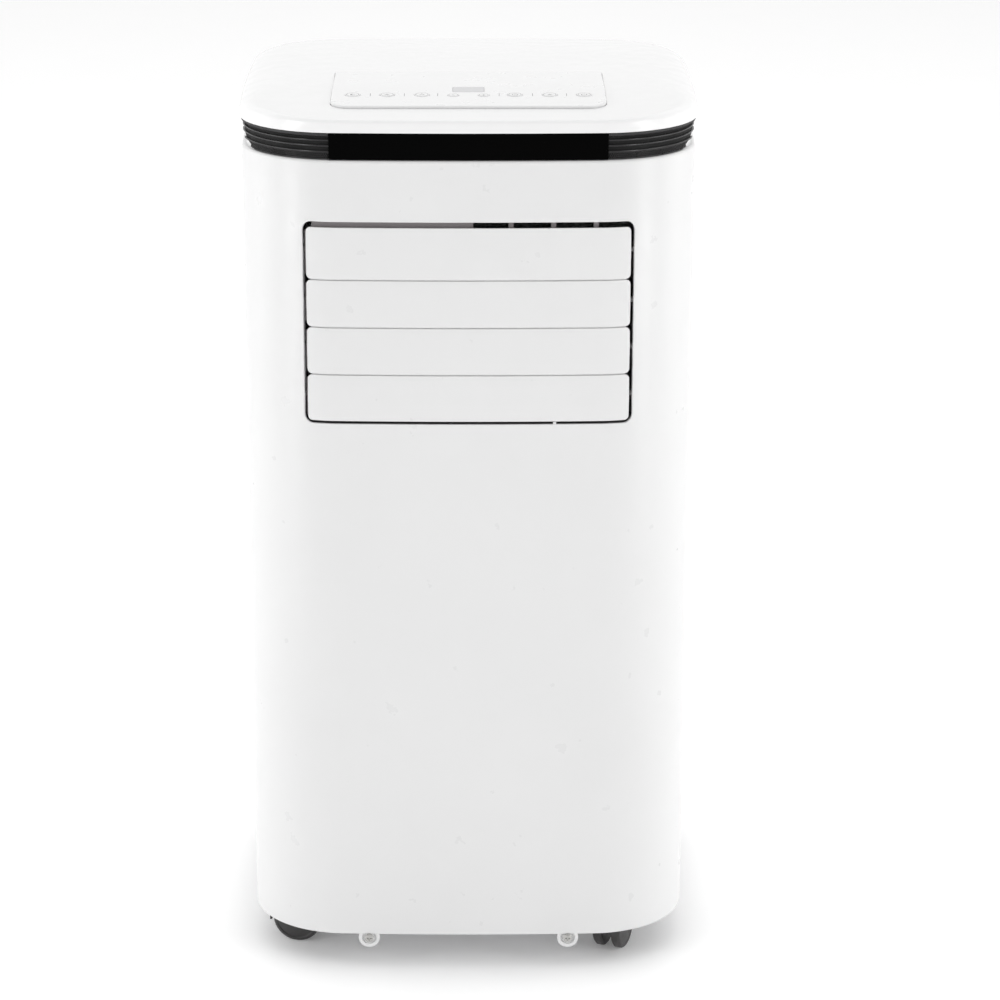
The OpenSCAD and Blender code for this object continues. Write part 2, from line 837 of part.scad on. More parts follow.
module control_box() {
    color("gainsboro")
        difference() {
            block([60, -2, 430], [140, 44, 586]);
            block([62, 0, 432], [138, 42, 584]);
            rod_y([120, 450], -10, 10, 6);
        }
}

module main_board() {
    color("darkgreen") {
        block([64, 36, 436], [136, 37.6, 580]);
        block([70, 20, 450], [96, 36, 480]);
        block([100, 24, 500], [130, 36, 530]);
        for (z = [545, 560]) block([70, 28, z], [90, 36, z + 10]);
        block([96, 37.6, 500], [104, 42, 508]);
    }
}

module run_capacitor() {
    color("lightgray") {
        translate([118, 14, 432]) cylinder(r = 12, h = 60, $fn = 60);
        for (x = [114, 122]) block([x - 1, 13, 492], [x + 1, 15, 500]);
    }
}

// Grommet in the rear shell where the supply lead enters
module power_gland() {
    color([0.15, 0.15, 0.15])
        difference() {
            union() {
                rod_y(gland_xz, 158, 171.4, 8);
                rod_y(gland_xz, 170.2, 171.8, 11);
                rod_y(gland_xz, 158, 166, 11);
            }
            rod_y(gland_xz, 150, 180, 4);
        }
}

module drain_plug() {
    color([0.12, 0.12, 0.12]) {
        rod_y(drain_xz, 152, 168, 6 - run_fit);
        rod_y(drain_xz, 167.4, 171.4, 9);
    }
}

module splash_motor() {
    color("silver")
        difference() {
            union() {
                rod_y(splash_xz, 68, 98, 17);
                block([splash_xz.x - 24, 90, tray_floor], [splash_xz.x + 24, 93, splash_xz.y]);
            }
            rod_y(splash_xz, 80, 110, 2 + run_fit);
        }
}

// Disc with paddles that throws pan water onto the hot coil
module splash_wheel() {
    color("whitesmoke") {
        rod_y(splash_xz, 104, 106.5, 17);
        rod_y(splash_xz, 100, 108, 6);
        rod_y(splash_xz, 84, 101, 2);
        for (a = [0 : 45 : 315])
            translate([splash_xz.x, 0, splash_xz.y]) rotate([0, a, 0])
                block([12, 102, -1], [22.5, 108.5, 1]);
    }
}

module water_float() {
    color("white")
        translate([float_xy.x, float_xy.y, tray_floor + 1.5])
            difference() {
                cylinder(r = 10, h = 12, $fn = 60);
                translate([0, 0, -1]) cylinder(r = 2 + run_fit, h = 20, $fn = 48);
            }
}

// Filter grille: a bowed slatted panel in a frame with a screen behind it
module filter(z0, z1) {
    x = filter_x - gap;
    low = z0 + gap;
    high = z1 - gap;
    rows = floor((high - low - 20) / 9);
    start = low + (high - low - rows * 9) / 2;
    difference() {
        intersection() {
            ring(inset, inset + 9, low, high);
            upright_plate(-x, x, low, high, 8 - gap, 120, 200);
        }
        intersection() {
            ring(inset + 3, inset + 7.8, low - 1, high + 1);
            upright_plate(-x + 3, x - 3, low + 3, high - 3, 5, 120, 200);
        }
        for (col = [-1 : 1], i = [0 : rows - 1])
            block([col * 80 - 37, 150, start + i * 9 + 2], [col * 80 + 37, 200, start + i * 9 + 7]);
    }
}

module filter_upper() {
    color("white") filter(upper_filter_z[0], upper_filter_z[1]);
}

module filter_lower() {
    color("white") filter(lower_filter_z[0], lower_filter_z[1]);
}

// Cabinet screws: two in the front tabs and six round the rear shell
module case_screws() {
    color("silver") {
        for (side = [-1, 1]) {
            rod_y([side * tab_x, tab_z], -171.3, -169.4, 3.6);
            rod_y([side * tab_x, tab_z], -169.5, -154, 1.8);
        }
        for (p = rear_screws) {
            y = rear_surface(abs(p.x)) - 6;
            rod_y(p, y, y + 8, 1.8);
            rod_y(p, y + 7, y + 9, 1.9);
        }
    }
}

// Distance of the rear shell's face from the middle, at x beyond the corner's centre
function rear_surface(x) = -corner_c.y + sqrt(pow(corner_r - inset, 2) - pow(x - corner_c.x, 2));

// ---------------------------------------------------------------- casters

function caster_pin(i) = [caster_sx[i] * caster_x, caster_sy[i] * caster_y, 0];

// A frame with X along the trail, Y along the axle and the swivel pin at the origin
module at_caster(i) {
    translate(caster_pin(i)) rotate(caster_trail_deg[i]) children();
}

module axle_rod(y0, y1, r) {
    translate([trail, y1, wheel_r]) rotate([90, 0, 0]) cylinder(r = r, h = y1 - y0, $fn = 96);
}

module caster(i) {
    color([0.1, 0.1, 0.11]) at_caster(i) {
        difference() {
            union() {
                difference() {
                    axle_rod(-13, 13, hood_r);
                    translate([-50, -50, -10]) cube([100, 100, 10 + wheel_r - 2]);
                }
                axle_rod(-3, 3, 8);
                translate([0, 0, 30]) cylinder(r = 8.5, h = collar_top - 30, $fn = 72);
            }
            axle_rod(3, 14, wheel_r + 0.8);
            axle_rod(-14, -3, wheel_r + 0.8);
            axle_rod(-14, 14, 3 + run_fit);
        }
        translate([0, 0, collar_top - 1]) cylinder(r = pin_r, h = 17, $fn = 72);
    }
}

module caster_wheels(i) {
    color([0.12, 0.12, 0.13]) at_caster(i) {
        axle_rod(3.6, 12.6, wheel_r);
        axle_rod(-12.6, -3.6, wheel_r);
        axle_rod(-4, 4, 3);
    }
}

// ---------------------------------------------------------------- nodes

base_tray();
front_panel();
rear_panel();
top_cover();
vent_band();
ir_window();
control_pad();
display_window();
display_board();
key(1);  // key_1
key(2);  // key_2
key(3);  // key_3
key(4);  // key_4
key(5);  // key_5
key(6);  // key_6
key(7);  // key_7
key(8);  // key_8
louver_frame();
louver(1);  // louver_1
louver(2);  // louver_2
louver(3);  // louver_3
louver(4);  // louver_4
louver_link();
swing_motor();
air_duct();
side_handles();
partition();
evaporator();
condenser();
upper_scroll();
upper_wheel();
upper_motor();
lower_scroll();
lower_wheel();
lower_motor();
compressor_shell();
compressor_core();
compressor_mounts();
copper_tubes();
control_box();
main_board();
run_capacitor();
exhaust_duct();
exhaust_collar();
power_gland();
drain_plug();
splash_motor();
splash_wheel();
water_float();
filter_upper();
filter_lower();
case_screws();
caster(0);  // caster_1
caster(1);  // caster_2
caster(2);  // caster_3
caster(3);  // caster_4
caster_wheels(0);  // caster_wheels_1
caster_wheels(1);  // caster_wheels_2
caster_wheels(2);  // caster_wheels_3
caster_wheels(3);  // caster_wheels_4
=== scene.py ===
"""Looks of the portable air conditioner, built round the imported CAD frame.

Shapes are worked out in millimetres, in the CAD's own frame (+Z up, the front faces -Y),
and each finished mesh is stored in metres.
"""

import json
import math

import bmesh
import bpy
from mathutils import Matrix, Vector
from mathutils.geometry import delaunay_2d_cdt


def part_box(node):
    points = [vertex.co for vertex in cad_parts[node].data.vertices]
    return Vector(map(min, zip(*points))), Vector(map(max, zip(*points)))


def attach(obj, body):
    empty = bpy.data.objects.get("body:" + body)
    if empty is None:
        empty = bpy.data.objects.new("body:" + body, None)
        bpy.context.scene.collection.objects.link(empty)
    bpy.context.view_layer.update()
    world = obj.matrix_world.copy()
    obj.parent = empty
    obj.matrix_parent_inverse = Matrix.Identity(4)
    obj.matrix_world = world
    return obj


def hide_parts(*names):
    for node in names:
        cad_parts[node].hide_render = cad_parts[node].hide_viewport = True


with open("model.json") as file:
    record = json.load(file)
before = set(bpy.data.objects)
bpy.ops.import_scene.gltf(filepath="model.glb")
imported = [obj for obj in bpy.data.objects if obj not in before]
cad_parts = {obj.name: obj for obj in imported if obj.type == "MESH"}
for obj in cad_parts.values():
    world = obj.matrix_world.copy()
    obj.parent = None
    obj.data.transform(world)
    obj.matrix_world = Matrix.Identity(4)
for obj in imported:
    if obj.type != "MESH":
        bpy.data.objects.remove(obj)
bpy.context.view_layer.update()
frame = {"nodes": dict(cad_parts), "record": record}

MM = 0.001
UP = Vector((0, 0, 1))


def box_mm(node):
    """Lowest and highest corner of a CAD node, in millimetres."""
    low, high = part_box(node)
    return low / MM, high / MM


# ---------------------------------------------------------------- driving sizes

LID_LOW, LID_HIGH = box_mm("top_cover")
HALF_W = LID_HIGH.x
HALF_D = LID_HIGH.y
LID_Z0 = LID_LOW.z
TOP_Z = LID_HIGH.z
BODY_Z0 = box_mm("rear_panel")[0].z
SHOULDER_Z = 663
FACE_R, SIDE_R, CORNER_R = 2200, 3200, 78
INSET, NECK_INSET, WALL = 1.5, 5.2, 2.5
SEAM_Y, SEAM_GAP = 75, 0.4
LIP_H = 7
SHOULDER_REACH, SHOULDER_RISE = 60, 12
DOME_R, DOME_Y = 1970, 20

PAD_X, PAD_FRONT, PAD_BACK, PAD_R = 105, -139, -20, 15
PAD_FRONT_Z = TOP_Z - 4.3
PAD_SLOPE = math.tan(math.radians(4))
KEY_Y, SMALL_KEY_Y, DISPLAY_Y = -106, -107.5, -90

WINDOW_X, WINDOW_R = 126, 7
WINDOW_Z = (457.2, 615.6)
LOUVER_Z0, LOUVER_PITCH, LOUVER_GAP, LOUVER_TOP_H = 459.3, 37.2, 0.8, 40.3
LOUVER_X, PIVOT_Y = 123.3, -152
CRANK_R, CRANK_DEG = 9, 30

HANDLE_Y, HANDLE_Z = 12, 592
FILTER_X, FILTER_Z = 127, {"upper": (430, 632), "lower": (78, 236)}
TAB_X, TAB_Y, TAB_Z = 80, -167.1, 26
COLLAR_Z, COLLAR_HOLE_R = 330, 79.4
GLAND_X, GLAND_Z, GLAND_HOLE_R = 85, 250, 8.3
DRAIN_X, DRAIN_Z, DRAIN_HOLE_R = 60, 47, 11
GRIP_HALF_W, GRIP_HALF_H, GRIP_R = 52, 14, 6
TRAIL, WHEEL_R, HOOD_R = 15, 20, 22.5
CASTERS = [(-124, -112, 168), (124, -112, 249), (124, 112, 60), (-124, 112, 205)]


# ---------------------------------------------------------------- plan outline

def plan_centres():
    """Centres of the face, side and corner arcs of the outline, and its tangent angles."""
    face = Vector((0, FACE_R - HALF_D))
    side = Vector((HALF_W - SIDE_R, 0))
    to_side = side - face
    apart = to_side.length
    to_side.normalize()
    reach_face, reach_side = FACE_R - CORNER_R, SIDE_R - CORNER_R
    along = (reach_face ** 2 - reach_side ** 2 + apart ** 2) / (2 * apart)
    across = math.sqrt(reach_face ** 2 - along ** 2)
    corner = face + along * to_side + across * Vector((-to_side.y, to_side.x))
    a_face = math.atan2(corner.y - face.y, corner.x - face.x)
    a_side = math.atan2(corner.y - side.y, corner.x - side.x)
    return face, side, corner, a_face, a_side


FACE_C, SIDE_C, CORNER_C, A_FACE, A_SIDE = plan_centres()
S_FACE = FACE_R * (A_FACE + math.pi / 2)
S_CORNER = S_FACE + CORNER_R * (A_SIDE - A_FACE)
QUARTER = S_CORNER - SIDE_R * A_SIDE


def plan_at(s, t=0.0):
    """Point of the outline moved in by t, at distance s from the middle of the front, and its normal."""
    side, run = (1 if s >= 0 else -1), abs(s)
    back = run > QUARTER
    if back:
        run = 2 * QUARTER - run
    if run < S_FACE:
        centre, radius, angle = FACE_C, FACE_R, run / FACE_R - math.pi / 2
    elif run < S_CORNER:
        centre, radius, angle = CORNER_C, CORNER_R, A_FACE + (run - S_FACE) / CORNER_R
    else:
        centre, radius, angle = SIDE_C, SIDE_R, A_SIDE + (run - S_CORNER) / SIDE_R
    normal = Vector((math.cos(angle), math.sin(angle)))
    point = centre + (radius - t) * normal
    flip = Vector((side, -1 if back else 1))
    return point * flip, normal * flip


def s_at_x(x, t=INSET):
    """Distance along the outline at which the front is at x."""
    reach = abs(x)
    if reach < (FACE_R - t) * math.cos(A_FACE):
        s = FACE_R * math.asin(reach / (FACE_R - t))
    else:
        s = S_FACE + CORNER_R * (-math.acos((reach - CORNER_C.x) / (CORNER_R - t)) - A_FACE)
    return math.copysign(s, x)


def s_at_y(y, t=INSET):
    """Distance along the outline at which the right side is at y."""
    if abs(y) < -(SIDE_R - t) * math.sin(A_SIDE):
        return QUARTER + SIDE_R * math.asin(y / (SIDE_R - t))
    near = S_FACE + CORNER_R * (math.asin((-abs(y) - CORNER_C.y) / (CORNER_R - t)) - A_FACE)
    return near if y < 0 else 2 * QUARTER - near


def stations(low, high, fine=3.2, coarse=15):
    """Places along the outline between low and high, close together round the corners."""
    marks = spread(0, S_FACE, coarse)[:-1] + spread(S_FACE, S_CORNER, fine)[:-1]
    marks += spread(S_CORNER, QUARTER, coarse)
    marks += [2 * QUARTER - s for s in reversed(marks[:-1])]
    marks = [-s for s in reversed(marks[1:])] + marks
    return [low] + [s for s in marks if low + 0.8 < s < high - 0.8] + [high]


def spread(low, high, step):
    """Evenly spaced values from low to high, no more than step apart."""
    count = max(1, math.ceil((high - low) / step))
    return [low + (high - low) * i / count for i in range(count + 1)]


def inside_by(p):
    """How far a point of the plan lies inside the outline, and the outward normal there."""
    flip = Vector((1 if p.x >= 0 else -1, -1 if p.y > 0 else 1))
    q = p * flip
    from_corner = q - CORNER_C
    angle = math.atan2(from_corner.y, from_corner.x)
    if A_FACE < angle < A_SIDE and from_corner.length > 1e-6:
        return CORNER_R - from_corner.length, from_corner.normalized() * flip
    to_face, to_side = q - FACE_C, q - SIDE_C
    by_face, by_side = FACE_R - to_face.length, SIDE_R - to_side.length
    if by_face < by_side:
        return by_face, to_face.normalized() * flip
    return by_side, to_side.normalized() * flip


# ---------------------------------------------------------------- outlines

def right_of(d):
    return Vector((d.y, -d.x))


def rounded(corners, radius, steps=5):
    """A closed outline, anticlockwise, with round corners: points, each with its outward normal.

    A corner is (x, y), or (x, y, r) where its radius differs from the others'.
    """
    radii = [c[2] if len(c) == 3 else radius for c in corners]
    corners = [Vector(c[:2]) for c in corners]
    outline = []
    for i, (p, r) in enumerate(zip(corners, radii)):
        before = (p - corners[i - 1]).normalized()
        after = (corners[(i + 1) % len(corners)] - p).normalized()
        turn = math.atan2(before.x * after.y - before.y * after.x, before.dot(after))
        reach = r * math.tan(abs(turn) / 2)
        if abs(turn) < 0.02 or r <= 0:
            outline.append((p, right_of((before + after).normalized())))
            continue
        bulge = 1 if turn > 0 else -1
        centre = p - before * reach - bulge * right_of(before) * r
        for k in range(steps + 1):
            normal = Matrix.Rotation(turn * k / steps, 2) @ right_of(before)
            outline.append((centre + bulge * normal * r, normal))
    return outline


def rectangle(x0, x1, y0, y1, radius, steps=5):
    return rounded([(x0, y0), (x1, y0), (x1, y1), (x0, y1)], radius, steps)


def circle(x, y, radius, count=48):
    outline = []
    for i in range(count):
        normal = Vector((math.cos(math.tau * i / count), math.sin(math.tau * i / count)))
        outline.append((Vector((x, y)) + radius * normal, normal))
    return outline


def densify(outline, u_lines, v_lines):
    """Adds a point wherever a straight stretch of the outline crosses a grid line."""
    out = []
    for i, (p, normal) in enumerate(outline):
        q, next_normal = outline[(i + 1) % len(outline)]
        out.append((p, normal))
        cuts = [(u - p.x) / (q.x - p.x) for u in u_lines if abs(q.x - p.x) > 1e-6]
        cuts += [(v - p.y) / (q.y - p.y) for v in v_lines if abs(q.y - p.y) > 1e-6]
        length = (q - p).length
        margin = 0.4 / max(length, 1e-6)
        last = 0.0
        for cut in sorted(cuts):
            if last + margin < cut < 1 - margin:
                out.append((p.lerp(q, cut), normal.lerp(next_normal, cut).normalized()))
                last = cut
    return out


def inside_loop(p, loop):
    """True if p lies inside the loop of points."""
    odd = False
    for i, a in enumerate(loop):
        b = loop[i - 1]
        if (a.y > p.y) != (b.y > p.y) and p.x < (b.x - a.x) * (p.y - a.y) / (b.y - a.y) + a.x:
            odd = not odd
    return odd


def near_loop(p, loop, reach):
    for i, b in enumerate(loop):
        a = loop[i - 1]
        span = b - a
        share = max(0.0, min(1.0, (p - a).dot(span) / max(span.length_squared, 1e-9)))
        if (p - a - span * share).length < reach:
            return True
    return False


# ---------------------------------------------------------------- mesh building

class Piece:
    """Gathers points with exact normals, and faces, and makes one object of them."""

    def __init__(self, place=None):
        self.points, self.normals, self.faces, self.finish, self.flat = [], [], [], [], []
        self.place = place or Matrix.Identity(4)
        self.material = 0

    def point(self, position, normal):
        self.points.append(self.place @ Vector(position))
        self.normals.append((self.place.to_3x3() @ Vector(normal)).normalized())
        return len(self.points) - 1

    def face(self, corners, flat=False):
        self.faces.append(corners)
        self.finish.append(self.material)
        self.flat.append(flat)

    def band(self, ring_a, ring_b, closed=True, flat=False):
        """Quads between two rings of points, triangles where one of them meets in a point."""
        count = len(ring_a)
        for i in range(count if closed else count - 1):
            j = (i + 1) % count
            corners = []
            for c in (ring_a[i], ring_a[j], ring_b[j], ring_b[i]):
                if c not in corners:
                    corners.append(c)
            if len(corners) > 2:
                self.face(corners, flat)

    def make(self, name, body, slots, replaces=()):
        """One object in metres, on a CAD body, finished with the materials of these slots."""
        mesh = bpy.data.meshes.new(name)
        mesh.from_pydata([p * MM for p in self.points], [], self.faces)
        for slot_name in slots:
            mesh.materials.append(FINISH[slot_name])
        mesh.polygons.foreach_set("material_index", self.finish)
        work = bmesh.new()
        work.from_mesh(mesh)
        bmesh.ops.recalc_face_normals(work, faces=work.faces)
        work.to_mesh(mesh)
        work.free()
        mesh.polygons.foreach_set("use_smooth", [True] * len(mesh.polygons))
        corner_normals = [None] * len(mesh.loops)
        for poly in mesh.polygons:
            for corner in poly.loop_indices:
                normal = self.normals[mesh.loops[corner].vertex_index]
                if self.flat[poly.index] or normal.dot(poly.normal) < 0:
                    normal = poly.normal
                corner_normals[corner] = normal.copy()
        mesh.normals_split_custom_set(corner_normals)
        obj = bpy.data.objects.new(name, mesh)
        bpy.context.scene.collection.objects.link(obj)
        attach(obj, body)
        if replaces:
            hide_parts(*replaces)
        return obj


STEP = 0.02


def rim_bounds(rim):
    """Lowest x, highest x, lowest y and highest y of a loop of points."""
    xs, ys = [p.x for p in rim], [p.y for p in rim]
    return min(xs), max(xs), min(ys), max(ys)


def surface_frame(surface, p, h):
    """Position and outward unit normal of a surface at p, a depth h below its face."""
    here = surface(p.x, p.y, h)
    du = surface(p.x + STEP, p.y, h) - surface(p.x - STEP, p.y, h)
    dv = surface(p.x, p.y + STEP, h) - surface(p.x, p.y - STEP, h)
    normal = du.cross(dv).normalized()
    if normal.dot(surface(p.x, p.y, 0) - surface(p.x, p.y, 1)) < 0:
        normal = -normal
    return here, normal


def sheet(piece, surface, outer, holes=(), thick=2.0, lip=0.3, hole_lip=None,
          u_lines=(), v_lines=(), extra=(), steps=3):
    """A closed panel of even thickness on a curved surface, with rounded rims and holes.

    surface(u, v, depth) gives a point in space; outlines are lists from rounded() or circle().
    """
    hole_lip = lip if hole_lip is None else hole_lip
    loops = [(densify(outer, u_lines, v_lines), -1, lip)]
    loops += [(densify(hole, u_lines, v_lines), 1, hole_lip) for hole in holes]
    flat, edges, starts = [], [], []
    for loop, sign, r in loops:
        starts.append(len(flat))
        flat += [p + n * (sign * r) for p, n in loop]
        edges += [(starts[-1] + i, starts[-1] + (i + 1) % len(loop)) for i in range(len(loop))]
    rims = [flat[start:start + len(loop)] for start, (loop, _, _) in zip(starts, loops)]
    bounds = [rim_bounds(rim) for rim in rims]
    fill = [Vector((u, v)) for u in u_lines for v in v_lines] + [Vector(p) for p in extra]
    for p in fill:
        free = inside_loop(p, rims[0]) and not near_loop(p, rims[0], 0.9)
        for rim, (x0, x1, y0, y1) in zip(rims[1:], bounds[1:]):
            if free and x0 - 1 < p.x < x1 + 1 and y0 - 1 < p.y < y1 + 1:
                free = not inside_loop(p, rim) and not near_loop(p, rim, 0.9)
        if free:
            flat.append(p)
    verts, _, tris, origin, _, _ = delaunay_2d_cdt(flat, edges, [], 1, 1e-5)
    where = {old: new for new, olds in enumerate(origin) for old in olds}
    tops, bottoms = [], []
    for p in verts:
        here, normal = surface_frame(surface, p, 0)
        tops.append(piece.point(here, normal))
        here, normal = surface_frame(surface, p, thick)
        bottoms.append(piece.point(here, -normal))
    for tri in tris:
        middle = sum((verts[i] for i in tri), Vector((0, 0))) / 3
        inside = inside_loop(middle, rims[0])
        for rim, (x0, x1, y0, y1) in zip(rims[1:], bounds[1:]):
            if inside and x0 < middle.x < x1 and y0 < middle.y < y1 and inside_loop(middle, rim):
                inside = False
        if inside:
            piece.face([tops[i] for i in tri])
            piece.face([bottoms[i] for i in reversed(tri)])
    for start, (loop, sign, r) in zip(starts, loops):
        rings = [[tops[where[start + i]] for i in range(len(loop))]]
        turns = [math.pi / 2 * k / steps for k in range(1, steps + 1)]
        rows = [(r * (1 - math.sin(a)), r * (1 - math.cos(a)), math.cos(a), math.sin(a)) for a in turns]
        rows += [(d, thick - h, -up, out) for d, h, up, out in reversed(rows)]
        for d, h, up, out in rows:
            ring = []
            for p, n in loop:
                q = p + n * (sign * d)
                here, normal = surface_frame(surface, q, h)
                away = q - n * (sign * STEP)
                outward = (surface(away.x, away.y, h) - here).normalized()
                ring.append(piece.point(here, normal * up + outward * out))
            rings.append(ring)
        rings.append([bottoms[where[start + i]] for i in range(len(loop))])
        for a, b in zip(rings, rings[1:]):
            piece.band(a, b)


def plane(axis, level, sign=1):
    """A flat surface across an axis, at a level, that faces along +axis or -axis."""
    def surface(u, v, depth):
        w = level - sign * depth
        return Vector({"x": (w, u, v), "y": (u, w, v), "z": (u, v, w)}[axis])
    return surface


def plate(piece, axis, low, high, outer, holes=(), lip=0.3, **more):
    """A flat piece between two levels of an axis, with rounded edges."""
    sheet(piece, plane(axis, high), outer, holes, high - low, lip, **more)


def block(piece, low, high, r=0.4, axis="z"):
    """A box with all its edges rounded."""
    i, j, k = {"x": (1, 2, 0), "y": (0, 2, 1), "z": (0, 1, 2)}[axis]
    plate(piece, axis, low[k], high[k], rectangle(low[i], high[i], low[j], high[j], r, 3), lip=r * 0.98)


def lathe(piece, profile, origin, axis, count=48):
    """Turns a closed outline of (radius, height) about an axis."""
    w = Vector(axis).normalized()
    u = w.orthogonal().normalized()
    v = w.cross(u)
    origin = Vector(origin)
    rings = []
    for (r, h), normal in profile:
        centre = origin + w * h
        if r < 1e-4:
            rings.append([piece.point(centre, w * (1 if normal[1] >= 0 else -1))] * count)
            continue
        ring = []
        for i in range(count):
            out = u * math.cos(math.tau * i / count) + v * math.sin(math.tau * i / count)
            ring.append(piece.point(centre + out * r, out * normal[0] + w * normal[1]))
        rings.append(ring)
    for i, ring in enumerate(rings):
        after = rings[(i + 1) % len(rings)]
        if ring[0] != ring[1] or after[0] != after[1]:
            piece.band(ring, after)


def turned(corners, radius=0.3, steps=4):
    """The outline of a turned piece: corners on the axis stay sharp."""
    return rounded([(r, h, 0) if r < 1e-4 else (r, h, radius) for r, h in corners], radius, steps)


def rod(piece, start, end, r, edge=0.3, count=32):
    """A round pin with rounded ends."""
    start, end = Vector(start), Vector(end)
    length = (end - start).length
    lathe(piece, turned([(0, 0), (r, 0), (r, length), (0, length)], edge), start, end - start, count)


def sweep(piece, outline, position, places):
    """Carries a closed outline along a path: position(place, point) gives a point in space."""
    rings = []
    for place in places:
        ring = []
        for p, normal in outline:
            here = position(place, p)
            ring.append(piece.point(here, position(place, p + normal * STEP) - here))
        rings.append(ring)
    for a, b in zip(rings, rings[1:]):
        piece.band(a, b)
    piece.face(rings[0], True)
    piece.face(list(reversed(rings[-1])), True)


# ---------------------------------------------------------------- materials

FINISH = {}


def material(slot_name, colour, roughness, specular=0.5, metallic=0.0, coat=0.0):
    """A new node material, with its shader and the object coordinates to work from."""
    made = bpy.data.materials.new(slot_name)
    made.use_nodes = True
    nodes, links = made.node_tree.nodes, made.node_tree.links
    shader = nodes["Principled BSDF"]
    shader.inputs["Base Color"].default_value = (*colour, 1)
    shader.inputs["Roughness"].default_value = roughness
    shader.inputs["Metallic"].default_value = metallic
    shader.inputs["Specular IOR Level"].default_value = specular
    shader.inputs["Coat Weight"].default_value = coat
    coords = nodes.new("ShaderNodeTexCoord")
    FINISH[slot_name] = made
    made.diffuse_color = (*colour, 1)
    return nodes, links, shader, coords


def noise(nodes, links, coords, scale, detail=3.0, stretch=(1, 1, 1)):
    mapping = nodes.new("ShaderNodeMapping")
    mapping.inputs["Scale"].default_value = stretch
    texture = nodes.new("ShaderNodeTexNoise")
    texture.inputs["Scale"].default_value = scale
    texture.inputs["Detail"].default_value = detail
    links.new(coords.outputs["Object"], mapping.inputs["Vector"])
    links.new(mapping.outputs["Vector"], texture.inputs["Vector"])
    return texture.outputs["Fac"]


def mottle(nodes, links, shader, value, colour, spread_by):
    """Varies the colour between slightly darker and slightly lighter shades."""
    ramp = nodes.new("ShaderNodeValToRGB")
    ramp.color_ramp.elements[0].position = 0.3
    ramp.color_ramp.elements[1].position = 0.7
    ramp.color_ramp.elements[0].color = (*[c * (1 - spread_by) for c in colour], 1)
    ramp.color_ramp.elements[1].color = (*[min(1, c * (1 + spread_by)) for c in colour], 1)
    links.new(value, ramp.inputs["Fac"])
    links.new(ramp.outputs["Color"], shader.inputs["Base Color"])


def uneven(nodes, links, shader, value, low, high):
    """Varies the roughness between two values."""
    span = nodes.new("ShaderNodeMapRange")
    span.inputs["From Min"].default_value = 0.3
    span.inputs["From Max"].default_value = 0.7
    span.inputs["To Min"].default_value = low
    span.inputs["To Max"].default_value = high
    links.new(value, span.inputs["Value"])
    links.new(span.outputs["Result"], shader.inputs["Roughness"])


def bumps(nodes, links, shader, value, strength, depth_mm):
    bump = nodes.new("ShaderNodeBump")
    bump.inputs["Strength"].default_value = strength
    bump.inputs["Distance"].default_value = depth_mm * MM
    links.new(value, bump.inputs["Height"])
    links.new(bump.outputs["Normal"], shader.inputs["Normal"])


def plastic(slot_name, colour, roughness, specular=0.5, grain=1400, depth=0.03, tint=0.01, coat=0.0):
    """Moulded plastic: a fine spark-eroded grain, cloudy gloss and faint flow marks."""
    nodes, links, shader, coords = material(slot_name, colour, roughness, specular, 0.0, coat)
    cloud = noise(nodes, links, coords, 9, 4)
    mottle(nodes, links, shader, cloud, colour, tint)
    uneven(nodes, links, shader, noise(nodes, links, coords, 60, 5), roughness * 0.85, roughness * 1.2)
    bumps(nodes, links, shader, noise(nodes, links, coords, grain, 2), 0.25, depth)


def metal(slot_name, colour, roughness, stretch=(1, 1, 1), scale=400, tint=0.06):
    """Bare or plated metal with fine drawn lines and uneven polish."""
    nodes, links, shader, coords = material(slot_name, colour, roughness, 0.5, 1.0)
    mottle(nodes, links, shader, noise(nodes, links, coords, 30, 5), colour, tint)
    lines = noise(nodes, links, coords, scale, 3, stretch)
    uneven(nodes, links, shader, lines, roughness * 0.7, roughness * 1.4)
    bumps(nodes, links, shader, lines, 0.2, 0.03)


def circuit_board():
    """Green board with a fine pattern of tracks under its lacquer."""
    nodes, links, shader, coords = material("circuit_board", (0.02, 0.16, 0.06), 0.35, 0.5, 0.0, 0.3)
    tracks = nodes.new("ShaderNodeTexBrick")
    tracks.inputs["Scale"].default_value = 220
    tracks.inputs["Color1"].default_value = (0.015, 0.14, 0.05, 1)
    tracks.inputs["Color2"].default_value = (0.03, 0.2, 0.08, 1)
    tracks.inputs["Mortar"].default_value = (0.06, 0.3, 0.12, 1)
    links.new(coords.outputs["Object"], tracks.inputs["Vector"])
    links.new(tracks.outputs["Color"], shader.inputs["Base Color"])
    bumps(nodes, links, shader, tracks.outputs["Fac"], 0.3, 0.05)


def foam():
    """Grey expanded polystyrene: rounded cells pressed together."""
    nodes, links, shader, coords = material("duct_foam", (0.62, 0.62, 0.63), 0.8, 0.3)
    cells = nodes.new("ShaderNodeTexVoronoi")
    cells.inputs["Scale"].default_value = 380
    links.new(coords.outputs["Object"], cells.inputs["Vector"])
    mottle(nodes, links, shader, cells.outputs["Distance"], (0.62, 0.62, 0.63), 0.08)
    bumps(nodes, links, shader, cells.outputs["Distance"], 0.6, 0.4)


